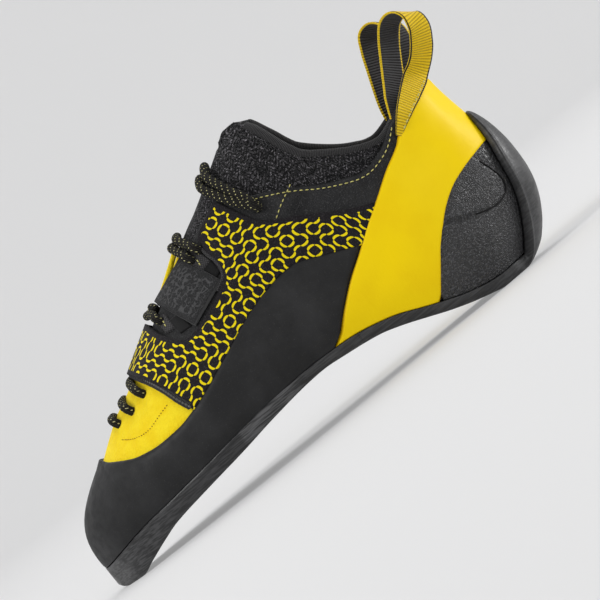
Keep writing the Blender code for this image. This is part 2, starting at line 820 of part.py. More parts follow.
SOLE_JOINT = 0.590
SOLE_SHARES = np.array(
    [0.024, 0.036, 0.052, 0.066, 0.082, 0.100, 0.120, 0.144, 0.168, 0.204, 0.248, 0.288, 0.328,
     0.368, 0.408, 0.448, 0.488, 0.528, 0.568]
)
REAR_SHARES = np.array(
    [0.608, 0.628, 0.648, 0.668, 0.688, 0.708, 0.728, 0.748, 0.770, 0.792, 0.812, 0.836, 0.852, 0.870]
)
STRIP_ROWS = ((0.0, 1.0, 1.0), (0.07, 1.05, 1.0), (0.14, 1.05, 0.98), (0.22, 1.0, 0.96),
              (0.31, 0.92, 0.94), (0.40, 0.84, 0.90), (0.49, 0.76, 0.86), (0.55, 0.50, 0.80),
              (0.585, 0.20, 0.74))


def make_rear_outsole(last, rubber, under):
    """Heel sole: level sections under the arch and heel, then a strip up the back of the heel."""
    outward = GAP + RUBBER + SOLE_LEDGE
    x = np.concatenate([[SOLE_JOINT * SHOE_LENGTH + GAP], REAR_SHARES * SHOE_LENGTH])
    outer, inner = edge_at(last, x, outward)
    sections = []
    for k, way in enumerate(x):
        top = float(last.line(way))
        bottom = min(float(under(way)), top - 0.0025)
        sections.append(sole_section(outer[k], inner[k], way, top, bottom, SOLE_CHAMFER))
    count = 4
    share = np.linspace(-1.0, 1.0, count + 1)
    corner = strip_station(last)
    turns = np.linspace(last.number(OUTER, REAR_SHARES[-1]), corner, 3)[1:-1]
    for turn in turns:
        ends = [base_edge(last, side, [turn], outward)[0] for side in SIDES]
        mid = base_edge(last, OUTER, [3.0], outward)[0]
        bow = (turn - turns[0] + 0.3) / (corner - turns[0] + 0.3) * (mid[0] - ends[0][0]) * 0.5
        across = ends[0] + (ends[1] - ends[0]) * ((share + 1) / 2)[:, None]
        across[:, 0] += bow * (1 - share**2)
        across[:, 2] = last.line(np.minimum(across[:, 0], 0.888 * SHOE_LENGTH))
        sections.append(strip_section(across, np.array([0, 0, -1.0]), None, under))
    for v, thick, wide in STRIP_ROWS:
        over = []
        ways = []
        for s in share:
            side = OUTER if s < 0 else INNER
            q = 3 - abs(s) * (3 - corner) * wide
            points, normals = grid(last, side, np.array([q]), np.array([v]), np.array([v + 0.01]), 1)
            way = normals[0, 0]
            lift = GAP + RUBBER + GAP + STRIP_CLEARANCE
            if v == 0.0:
                over.append(base_edge(last, side, [q], outward)[0] - (0, 0, SOLE_LEDGE))
            else:
                over.append(points[0, 0] + way * lift)
            ways.append(way)
        ways = np.array(ways)
        sections.append(strip_section(np.array(over), ways, HEEL_STRIP * thick, under))
    points = np.concatenate(sections)
    return add_mesh("rear_outsole", points, box_faces(len(sections), sections[0]), rubber)


def strip_station(last):
    """Return the station number at which the heel strip leaves the sole's outline."""
    numbers = np.linspace(2.0, 3.0, 201)
    across = np.abs(last.plan(last.station(OUTER, numbers))[:, 1])
    return float(np.interp(-STRIP_HALF_WIDTH, -across, numbers))


def strip_section(over, ways, thick, under):
    """Return a section of the heel sole whose upper face is any row of points across."""
    count = len(over)
    if thick is None:
        beneath = over.copy()
        beneath[:, 2] = np.minimum(under(over[:, 0]), over[:, 2] - 0.0025)
    else:
        beneath = over + ways * thick
        beneath[:, 2] = np.maximum(beneath[:, 2], 0.0)
    middle = over.mean(axis=0)
    pull = np.zeros(count)
    pull[[0, -1]] = min(SOLE_CHAMFER, 0.45 * (thick or SOLE_TREAD))
    inwards = middle - over
    inwards /= np.maximum(np.linalg.norm(inwards, axis=1, keepdims=True), 1e-9)
    beneath = beneath + inwards * pull[:, None]
    shoulder = 0.55 * over + 0.45 * beneath
    last_row = [tuple(shoulder[-1])]
    first_row = [tuple(shoulder[0])]
    return [tuple(p) for p in over] + last_row + [tuple(p) for p in beneath[::-1]] + first_row


def make_insole(last, board):
    """Thin board inside the upper, lying on the sole."""
    lift = GAP + INSOLE_CLEARANCE
    line = [base_edge(last, side, np.linspace(0, 3, 601), -INSOLE_INSET) for side in SIDES]
    front = max(edge[:, 0].min() for edge in line)
    back = min(edge[:, 0].max() for edge in line)
    x = INSOLE_SHARES * SHOE_LENGTH
    x = x[(x > front + 0.002) & (x < back - 0.003)]
    x = np.concatenate([[front + 0.00005, front + 0.0015], x, [back - 0.0015, back - 0.00005]])
    sections = []
    for way in x:
        ends = []
        for edge in line:
            order = np.argsort(edge[:, 0])
            ends.append(np.interp(way, edge[order, 0], edge[order, 1]))
        z = float(last.line(way)) + lift
        share = np.linspace(0.0, 1.0, 3)
        y = ends[0] + (ends[1] - ends[0]) * share
        over = [(way, b, z + INSOLE) for b in y]
        below = [(way, b, z) for b in y[::-1]]
        sections.append(over + below)
    points = np.concatenate(sections)
    return add_mesh("insole", points, box_faces(len(x), sections[0]), board)


INSOLE_SHARES = np.concatenate([SOLE_SHARES[1:], [SOLE_JOINT], REAR_SHARES, [0.884]])


def make_toe_rand(last, rubber):
    """Rubber around the toe and along both sides, up to the heel band."""
    edge = edge_curve(RAND_EDGE_ROWS)
    band = edge_curve(BAND_FRONT_ROWS)
    grids = []
    for side in SIDES:
        toe = np.linspace(0, 1, 6)[:-1]
        shares = np.array([0.100, 0.114, 0.128, 0.150, 0.180, 0.220, 0.260, 0.300, 0.336, 0.380, 0.430,
                           0.480, 0.520, 0.546, 0.568, 0.600, 0.640, 0.680])
        q = np.concatenate([toe, [last.number(side, s) for s in shares]])
        high = last.height(side, q, edge)
        share = shares_of(last, side, q)
        high[share <= 0.1141] = 1.0
        low = np.where(share > 0.546, last.height(side, q, band, EDGE_GAP), 0.0)
        low = np.minimum(low, high - 0.01)
        grids.append(grid(last, side, q, low, high, 7, True, RAND_ARCH))
    return shell("toe_rand", grids, GAP, GAP + RUBBER, rubber)


def make_heel_band(last, rubber):
    """Tensioned band from the arch on both sides around the back of the heel."""
    front = edge_curve(BAND_FRONT_ROWS)
    rear = edge_curve(BAND_REAR_ROWS)
    grids = []
    for side in SIDES:
        shares = np.array([0.552, 0.568, 0.600, 0.640, 0.660, 0.680, 0.720, 0.744, 0.770, 0.795])
        q = np.concatenate([[last.number(side, s) for s in shares], np.linspace(2, 3, 7)])
        high = last.height(side, q, front)
        share = shares_of(last, side, q)
        low = np.where(share > 0.732, last.height(side, q, rear), 0.0)
        low = np.minimum(low, high - 0.01)
        grids.append(grid(last, side, q, low, high, 4, True))
    return shell("heel_band", grids, GAP, GAP + RUBBER, rubber)


def make_heel_rand(last, rubber):
    """Rubber cup around the heel, between the sole and the band."""
    rear = edge_curve(BAND_REAR_ROWS)
    grids = []
    for side in SIDES:
        shares = np.array([0.742, 0.760, 0.780, 0.800])
        q = np.concatenate([[last.number(side, s) for s in shares], np.linspace(2, 3, 7)])
        high = last.height(side, q, rear, -EDGE_GAP)
        low = np.zeros(len(q))
        high = np.maximum(high, 0.02)
        grids.append(grid(last, side, q, low, high, 6, True))
    return shell("heel_rand", grids, GAP, GAP + RUBBER, rubber)


def make_harness(last, cloth):
    """Printed panel on both sides with a band over the instep, in one piece."""
    rand = edge_curve(RAND_EDGE_ROWS)
    band = edge_curve(BAND_FRONT_ROWS)
    front = edge_curve(HARNESS_FRONT_ROWS)
    top = edge_curve(HARNESS_TOP_ROWS)
    grids = []
    for side in SIDES:
        shares = np.array([0.243, 0.254, 0.266, 0.280, 0.292, 0.302, 0.3235, 0.329, 0.336, 0.348, 0.368, 0.394,
                           0.420, 0.442, 0.464, 0.476, 0.484, 0.512, 0.546, 0.556, 0.568, 0.580, 0.608,
                           0.648, 0.688, 0.720, 0.744])
        q = np.array([last.number(side, s) for s in shares])
        share = shares_of(last, side, q)
        low_rand = last.height(side, q, rand, EDGE_GAP)
        low_band = last.height(side, q, band, EDGE_GAP)
        low_front = last.height(side, q, front)
        low = np.where(share < 0.302, np.maximum(low_front, low_rand), low_rand)
        low = np.where(share > 0.692, low_band, low)
        high = np.where(share < 0.324, 1.0, last.height(side, q, top))
        low = np.minimum(low, high - 0.008)
        arch = HARNESS_ARCH * np.clip((0.36 - share) / 0.03, 0, 1)
        grids.append(grid(last, side, q, low, high, 7, False, arch))
    return shell("harness", grids, GAP, GAP + PANEL, cloth)


def make_tabs(last, cloth):
    """Lace tabs, one on each side, in the window of the harness."""
    lower = edge_curve(TAB_LOWER_ROWS)
    upper = edge_curve(TAB_UPPER_ROWS)
    for side, name in ((OUTER, "lace_tab_outer"), (INNER, "lace_tab_inner")):
        q = numbers_between(last, side, TAB_SPAN[0], TAB_SPAN[1], 7)
        low = last.height(side, q, lower, EDGE_GAP)
        high = last.height(side, q, upper)
        high = np.minimum(high, last.beside_ridge(side, q, 0.0035))
        low = np.minimum(low, high - 0.03)
        shell(name, [grid(last, side, q, low, high, 5)], GAP + TAB_CLEARANCE, GAP + TAB_CLEARANCE + TAB, cloth)


def tube(name, path, radius, sides, cloth):
    """Make a closed round tube along a path of points."""
    path = np.asarray(path, float)
    tangent = np.gradient(path, axis=0)
    tangent /= np.linalg.norm(tangent, axis=1, keepdims=True)
    normal = np.cross(tangent[0], (0, 0, 1.0))
    rings = []
    angle = np.arange(sides) * 2 * np.pi / sides
    for point, way in zip(path, tangent):
        normal = normal - way * (normal @ way)
        normal /= np.linalg.norm(normal)
        other = np.cross(way, normal)
        rings.append(point + radius * (np.cos(angle)[:, None] * normal + np.sin(angle)[:, None] * other))
    return add_mesh(name, np.concatenate(rings), box_faces(len(path), rings[0]), cloth)


def ribbon(name, path, across, width, thick, cloth):
    """Make a closed flat tape along a path, with its width along the given direction."""
    path = np.asarray(path, float)
    tangent = np.gradient(path, axis=0)
    tangent /= np.linalg.norm(tangent, axis=1, keepdims=True)
    face = np.cross(tangent, across)
    face /= np.linalg.norm(face, axis=1, keepdims=True)
    half = across * width / 2
    sections = []
    for point, way in zip(path, face):
        sections.append([point - half + way * thick / 2, point + half + way * thick / 2,
                         point + half - way * thick / 2, point - half - way * thick / 2])
    return add_mesh(name, np.concatenate(sections), box_faces(len(path), sections[0]), cloth)


def over_instep(last, share, outer, inner, lift, count):
    """Return a path across the instep from one side of the ridge to the other, above the last."""
    path = []
    for side, reach in ((OUTER, outer), (INNER, inner)):
        q = last.number(side, share)
        start = last.beside_ridge(side, [q], reach)[0]
        v = np.linspace(start, 1.0, count)
        numbers = np.full(count, q)
        points = last.points(side, numbers, v) + last.normals(side, numbers, v) * lift
        if side == INNER:
            points = points[::-1][1:]
        path.extend(points)
    return path


def top_lace(last, lift):
    """Return the path of the top pass: up from one eyelet, over the ridge and down to the other."""
    halves = {}
    for side, name in ((OUTER, "outer_up"), (INNER, "inner_up")):
        points = []
        heights = column(LACE_TOP_ROWS, LACE_TOP_COLUMNS, name) * INSTEP_HEIGHT
        for share, up in zip(column(LACE_TOP_ROWS, LACE_TOP_COLUMNS, "along"), heights):
            q = last.number(side, share)
            v = last.height(side, [q], lambda along, up=up: np.full_like(along, up))[0]
            points.append(last.points(side, q, v) + last.normals(side, q, v) * lift)
        halves[side] = points
    ridge = last.points(OUTER, last.number(OUTER, 0.550), 1.0) + (0, 0, lift)
    return halves[OUTER] + [ridge] + halves[INNER][::-1]


def make_laces(last, cord):
    """Crossings of the lace: a zigzag at the toe, one in the middle and the top pass."""
    layers = {
        "lace_toe": (LACE_TOE_ROWS, GAP + LACE_RADIUS),
        "lace_middle": (LACE_MIDDLE_ROWS, 2 * GAP + TAB + LACE_RADIUS),
    }
    tube("lace_top", top_lace(last, GAP + LACE_RADIUS), LACE_RADIUS, 6, cord)
    for name, (rows, lift) in layers.items():
        path = []
        for k, (share, outer, inner) in enumerate(rows):
            bar = over_instep(last, share, outer * BALL_WIDTH, inner * BALL_WIDTH, lift, 6)
            path.extend(bar if k % 2 == 0 else bar[::-1])
        path = np.array(path)
        keep = [0]
        for k in range(1, len(path)):
            if np.linalg.norm(path[k] - path[keep[-1]]) > LACE_RADIUS:
                keep.append(k)
        tube(name, path[keep], LACE_RADIUS, 6, cord)


def make_pull_loops(tape):
    """Two tape loops at the top of the heel, each a teardrop whose tape stands at a slant."""
    fine = np.linspace(0, 1, 25)
    for side, name in ((OUTER, "pull_loop_outer"), (INNER, "pull_loop_inner")):
        rows = np.array(LOOP_ROWS[side])
        t = np.linspace(0, 1, len(rows))
        along = steady(t, rows[:, 0])(fine)
        up = steady(t, rows[:, 1])(fine)
        foot = LOOP_FEET[side]
        start = np.array([foot[0] * SHOE_LENGTH, foot[1] * BALL_WIDTH, foot[2] * INSTEP_HEIGHT])
        turn = LOOP_TURN
        plane = np.array([np.cos(turn), np.sin(turn) * -1, 0.0])
        across = np.array([np.sin(turn), np.cos(turn), 0.0])
        path = start + along[:, None] * plane + up[:, None] * (0, 0, 1.0)
        ribbon(name, path, across, TAPE_WIDTH, TAPE, tape)


def build():
    """Clear the scene and make every piece of the shoe."""
    for old in list(bpy.data.objects):
        bpy.data.objects.remove(old, do_unlink=True)
    last = Last()
    under = edge_curve(UNDERSIDE_ROWS, ARCH_RISE)
    leather = material("leather", (0.02, 0.02, 0.022), 0.7)
    knit = material("knit", (0.03, 0.03, 0.035), 0.9)
    rubber = material("rubber", (0.025, 0.025, 0.027), 0.45)
    yellow = material("yellow_rubber", (0.9, 0.66, 0.0), 0.4)
    printed = material("printed_cloth", (0.03, 0.025, 0.03), 0.8)
    board = material("insole_board", (0.25, 0.22, 0.18), 0.9)
    tape = material("tape", (0.8, 0.55, 0.03), 0.7)
    cord = material("lace", (0.03, 0.03, 0.03), 0.8)
    make_upper(last, leather)
    make_tongue_collar(last, knit)
    make_insole(last, board)
    make_front_outsole(last, rubber, under)
    make_rear_outsole(last, rubber, under)
    make_toe_rand(last, rubber)
    make_heel_rand(last, rubber)
    make_heel_band(last, yellow)
    make_harness(last, printed)
    make_tabs(last, knit)
    make_laces(last, cord)
    make_pull_loops(tape)


build()
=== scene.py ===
"""Looks of a left climbing shoe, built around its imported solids.

Metres, in the row's frame: the origin is the middle of the heel's flat spot on the floor, the toe
points to -X, the outer side of the foot is -Y and +Z is up. Every layer is a stretch of one surface,
the last, moved out or in by its own thickness, so the pieces sit on each other as they are sewn.
"""

from __future__ import annotations

import logging
import math
from dataclasses import dataclass, field
from enum import Enum
from typing import Callable, Optional, Sequence

import bmesh
import bpy
import numpy as np
from mathutils import Matrix


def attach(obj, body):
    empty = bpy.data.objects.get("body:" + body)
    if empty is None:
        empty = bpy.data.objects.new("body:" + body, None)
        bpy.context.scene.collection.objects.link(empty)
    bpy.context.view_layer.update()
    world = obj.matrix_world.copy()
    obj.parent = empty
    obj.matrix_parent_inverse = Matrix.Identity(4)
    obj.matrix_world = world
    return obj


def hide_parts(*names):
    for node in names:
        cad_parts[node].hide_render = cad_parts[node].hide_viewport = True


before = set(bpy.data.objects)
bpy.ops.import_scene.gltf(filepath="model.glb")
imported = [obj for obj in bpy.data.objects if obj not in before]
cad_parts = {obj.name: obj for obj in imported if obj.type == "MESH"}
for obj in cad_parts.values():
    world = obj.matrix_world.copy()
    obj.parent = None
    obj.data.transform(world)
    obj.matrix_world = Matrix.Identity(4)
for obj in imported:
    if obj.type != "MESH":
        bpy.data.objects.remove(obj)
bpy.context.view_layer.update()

LOG = logging.getLogger("climbing_shoe")
Array = np.ndarray
Object = bpy.types.Object
Material = bpy.types.Material
Socket = bpy.types.NodeSocket
Colour = tuple[float, float, float]
Spot = tuple[float, float]

MM = 0.001
SHOE_LENGTH = 0.250
BALL_WIDTH = 0.080
INSTEP_HEIGHT = 0.125
HEEL_HEIGHT = 0.090
ARCH_RISE = 0.025
HEEL_REST = 0.864 * SHOE_LENGTH

LEATHER = 0.0018
KNIT = 0.0020
RUBBER = 0.0015
PANEL = 0.0013
TAB = 0.0016
INSOLE = 0.0020
HEEL_STRIP = 0.0046
STRIP_HALF_WIDTH = 0.0095
GAP = 0.0005
SEAT = 0.00012
SOLE_LEDGE = 0.0004
SOLE_CHAMFER = 0.0022
SEAT_BLEND = 0.004
TONGUE_OVERLAP = 0.009
COLLAR_OVERLAP = 0.012
TAPE_WIDTH = 0.0110
TAPE = 0.0012
LOWER_SHARE = 0.28
RIDGE_SLOPE = 0.62
TOE_POLE = 0.100
HEEL_TURN = 0.82
SOLE_JOINT = 0.590
LINE_LOW = 0.888
TIP_SHARE = 0.02


class Side(Enum):
    """The two sides of the foot; the value is the sign of y."""

    OUTER = -1
    INNER = 1


SIDES = (Side.OUTER, Side.INNER)

OUTLINE_COLUMNS = ("along", "outer", "inner", "line")
OUTLINE_ROWS = (
    (0.0104, 0.150, 0.150, 0.440), (0.024, 0.031, 0.262, 0.466), (0.052, -0.106, 0.356, 0.530),
    (0.100, -0.231, 0.431, 0.632), (0.168, -0.356, 0.487, 0.716), (0.248, -0.450, 0.512, 0.808),
    (0.328, -0.500, 0.494, 0.908), (0.408, -0.494, 0.419, 0.988), (0.488, -0.437, 0.337, 1.016),
    (0.568, -0.375, 0.281, 0.972), (0.648, -0.331, 0.256, 0.816), (0.728, -0.312, 0.269, 0.496),
    (0.792, -0.294, 0.281, 0.276), (0.848, -0.244, 0.244, 0.184), (0.888, -0.144, 0.144, 0.210),
    (0.908, 0.000, 0.000, 0.300),
)
UNDERSIDE_ROWS = (
    (0.000, 0.120), (0.008, 0.040), (0.020, 0.000), (0.052, 0.000), (0.080, 0.108), (0.120, 0.260), (0.160, 0.388),
    (0.240, 0.520), (0.320, 0.632), (0.400, 0.756), (0.480, 0.840), (0.508, 0.850), (0.560, 0.800), (0.620, 0.710),
    (0.660, 0.588), (0.700, 0.432), (0.740, 0.272), (0.780, 0.140), (0.820, 0.036), (0.836, 0.000), (0.892, 0.000),
    (0.920, 0.060),
)
BODY_COLUMNS = ("along", "outer_swell", "inner_swell", "widest", "flank", "shoulder")
BODY_ROWS = (
    (0.0104, 0.0075, 0.0075, 0.120, 0.72, 0.72), (0.052, 0.010, 0.010, 0.136, 0.68, 0.68),
    (0.100, 0.019, 0.019, 0.168, 0.60, 0.60), (0.168, 0.025, 0.025, 0.208, 0.56, 0.52),
    (0.248, 0.031, 0.031, 0.240, 0.52, 0.48), (0.328, 0.035, 0.035, 0.264, 0.50, 0.44),
    (0.408, 0.040, 0.050, 0.288, 0.50, 0.40), (0.488, 0.045, 0.062, 0.320, 0.50, 0.38),
    (0.568, 0.050, 0.075, 0.344, 0.50, 0.36), (0.648, 0.062, 0.087, 0.344, 0.45, 0.35),
    (0.728, 0.075, 0.094, 0.320, 0.42, 0.35), (0.792, 0.087, 0.094, 0.288, 0.42, 0.35),
    (0.848, 0.112, 0.112, 0.288, 0.42, 0.35), (0.888, 0.162, 0.162, 0.320, 0.45, 0.35),
    (0.908, 0.200, 0.200, 0.352, 0.50, 0.35),
)
RIDGE_COLUMNS = ("along", "top_along", "across", "up")
RIDGE_ROWS = (
    (0.0104, 0.100, 0.150, 0.365), (0.100, 0.100, 0.150, 0.365), (0.140, 0.140, 0.141, 0.424),
    (0.180, 0.180, 0.130, 0.477), (0.220, 0.220, 0.115, 0.517), (0.260, 0.260, 0.100, 0.566),
    (0.324, 0.324, 0.081, 0.642), (0.400, 0.400, 0.062, 0.740), (0.460, 0.460, 0.047, 0.822),
    (0.520, 0.520, 0.030, 0.894), (0.584, 0.592, 0.011, 0.982), (0.598, 0.612, 0.008, 1.006),
    (0.608, 0.628, 0.005, 1.024),
)
RIM_COLUMNS = ("along", "top_along", "outer", "inner", "outer_up", "inner_up", "open")
RIM_ROWS = (
    (0.617, 0.650, -0.040, 0.044, 1.426, 1.426, 0.1), (0.630, 0.657, -0.110, 0.120, 1.372, 1.394, 0.4),
    (0.648, 0.667, -0.175, 0.188, 1.300, 1.350, 0.8), (0.672, 0.682, -0.240, 0.250, 1.194, 1.272, 1.0),
    (0.700, 0.702, -0.287, 0.300, 1.100, 1.167, 1.0), (0.740, 0.742, -0.325, 0.331, 1.017, 1.061, 1.0),
    (0.780, 0.784, -0.337, 0.337, 0.948, 0.978, 1.0), (0.820, 0.828, -0.325, 0.325, 0.911, 0.933, 1.0),
    (0.860, 0.880, -0.281, 0.281, 0.956, 0.967, 1.0), (0.888, 0.928, -0.175, 0.175, 1.000, 1.006, 1.0),
    (0.908, 0.951, 0.000, 0.000, 1.018, 1.018, 1.0),
)
THROAT_COLUMNS = ("along", "outer", "inner")
THROAT_ROWS = (
    (0.164, 0.000, 0.000), (0.200, 0.037, 0.020), (0.240, 0.056, 0.022), (0.324, 0.090, 0.034),
    (0.400, 0.137, 0.046), (0.476, 0.181, 0.058), (0.552, 0.187, 0.075),
)
COLLAR_EDGE_ROWS = {
    Side.OUTER: (
        (0.552, 0.824),
        (0.588, 0.788),
        (0.620, 0.760),
        (0.660, 0.716),
        (0.700, 0.664),
        (0.740, 0.624),
        (0.772, 0.604),
        (0.812, 0.620),
        (0.856, 0.668),
        (0.900, 0.700),
        (0.960, 0.724),
    ),
    Side.INNER: (
        (0.552, 0.900),
        (0.588, 0.848),
        (0.620, 0.800),
        (0.660, 0.744),
        (0.700, 0.688),
        (0.740, 0.640),
        (0.772, 0.616),
        (0.812, 0.626),
        (0.856, 0.668),
        (0.900, 0.700),
        (0.960, 0.724),
    ),
}
RAND_EDGE_ROWS = (
    (0.100, 0.500), (0.114, 0.392), (0.140, 0.360), (0.180, 0.328), (0.220, 0.318), (0.260, 0.322), (0.302, 0.340),
    (0.336, 0.364), (0.400, 0.416), (0.480, 0.480), (0.520, 0.500), (0.560, 0.512), (0.580, 0.512), (0.600, 0.500),
    (0.640, 0.464), (0.692, 0.420),
)
BAND_FRONT_ROWS = (
    (0.546, 0.201), (0.568, 0.228), (0.600, 0.284), (0.640, 0.348), (0.680, 0.400), (0.720, 0.456), (0.760, 0.504),
    (0.800, 0.556), (0.840, 0.600), (0.852, 0.620), (0.880, 0.652), (0.920, 0.688), (0.958, 0.718),
)
BAND_REAR_ROWS = (
    (0.732, 0.096), (0.744, 0.120), (0.760, 0.160), (0.776, 0.200), (0.792, 0.240), (0.808, 0.272), (0.824, 0.304),
    (0.840, 0.332), (0.860, 0.360), (0.880, 0.380), (0.920, 0.404), (0.974, 0.424),
)
HARNESS_FRONT_ROWS = ((0.242, 0.564), (0.264, 0.504), (0.280, 0.444), (0.292, 0.384), (0.302, 0.344))
HARNESS_TOP_ROWS = (
    (0.324, 0.654), (0.336, 0.592), (0.348, 0.560), (0.368, 0.532), (0.420, 0.556), (0.464, 0.600), (0.476, 0.620),
    (0.484, 0.770), (0.512, 0.804), (0.546, 0.832), (0.556, 0.792), (0.568, 0.744), (0.580, 0.700), (0.608, 0.660),
    (0.648, 0.612), (0.688, 0.564), (0.728, 0.520), (0.752, 0.500),
)


def column(rows: Sequence[Sequence[float]], names: Sequence[str], name: str) -> Array:
    """Return one named column of a table as an array."""
    return np.array([row[names.index(name)] for row in rows], float)


def cubic(u: Array, width: Array, start: Array, end: Array, slope: Array, last_slope: Array) -> Array:
    """Return the cubic at shares u of a stretch, from its width and its values and slopes at both ends."""
    return (
        (2 * u**3 - 3 * u**2 + 1) * start
        + (u**3 - 2 * u**2 + u) * width * slope
        + (3 * u**2 - 2 * u**3) * end
        + (u**3 - u**2) * width * last_slope
    )


def way_along(path: Array) -> Array:
    """Return the length of a path up to each of its points."""
    return np.concatenate([[0.0], np.cumsum(np.linalg.norm(np.diff(path, axis=0), axis=1))])


class SmoothCurve:
    """A curve y(x) through given points that never overshoots them.

    Each stretch is a cubic whose end slopes are the harmonic mean of the slopes beside the point, and
    zero where the slopes change sign.
    """

    def __init__(self, x: Array, y: Array) -> None:
        """Store the points and work out the slopes.

        Args:
            x: rising places.
            y: values there.
        """
        self.x = np.asarray(x, float)
        self.y = np.asarray(y, float)
        self.step = np.diff(self.x)
        rise = np.diff(self.y) / self.step
        same = rise[:-1] * rise[1:] > 0
        mean = 2 * rise[:-1] * rise[1:] / np.where(same, rise[:-1] + rise[1:], 1.0)
        self.slope = np.concatenate([rise[:1], np.where(same, mean, 0.0), rise[-1:]])

    def __call__(self, where: Array) -> Array:
        """Return the curve's value, held level beyond its ends."""
        where = np.clip(np.asarray(where, float), self.x[0], self.x[-1])
        i = np.clip(np.searchsorted(self.x, where, side="right") - 1, 0, len(self.x) - 2)
        u = (where - self.x[i]) / self.step[i]
        return cubic(u, self.step[i], self.y[i], self.y[i + 1], self.slope[i], self.slope[i + 1])


def table_curve(rows: Sequence[Sequence[float]], names: Sequence[str], name: str, size: float) -> SmoothCurve:
    """Return a column of a table as a curve over the way along the shoe, in metres."""
    return SmoothCurve(column(rows, names, "along") * SHOE_LENGTH, column(rows, names, name) * size)


def edge_curve(rows: Sequence[Sequence[float]], size: float = INSTEP_HEIGHT) -> SmoothCurve:
    """Return an edge in the side view: height over the way along the shoe, both in metres."""
    points = np.array(rows, float)
    return SmoothCurve(points[:, 0] * SHOE_LENGTH, points[:, 1] * size)


class PlanSpline:
    """A closed cubic spline through points of the plan, with the same curvature on both sides of each."""

    def __init__(self, points: Array) -> None:
        """Solve for the slopes; the parameter is the length of the straight lines between points."""
        count = len(points)
        self.points = points
        self.gaps = np.linalg.norm(np.roll(points, -1, axis=0) - points, axis=1)
        self.knots = np.concatenate([[0.0], np.cumsum(self.gaps)])
        before = np.roll(self.gaps, 1)
        after = self.gaps
        index = np.arange(count)
        system = np.zeros((count, count))
        system[index, index - 1] = after
        system[index, index] = 2 * (before + after)
        system[index, (index + 1) % count] = before
        back = (points - np.roll(points, 1, axis=0)) / before[:, None]
        forth = (np.roll(points, -1, axis=0) - points) / after[:, None]
        self.slopes = np.linalg.solve(system, 3 * (after[:, None] * back + before[:, None] * forth))

    def __call__(self, t: Array) -> Array:
        """Return points of the spline at parameters t, which wrap around."""
        t = np.mod(np.asarray(t, float), self.knots[-1])
        i = np.clip(np.searchsorted(self.knots, t, side="right") - 1, 0, len(self.points) - 1)
        j = (i + 1) % len(self.points)
        h = self.gaps[i][..., None]
        u = ((t - self.knots[i]) / self.gaps[i])[..., None]
        return cubic(u, h, self.points[i], self.points[j], self.slopes[i], self.slopes[j])


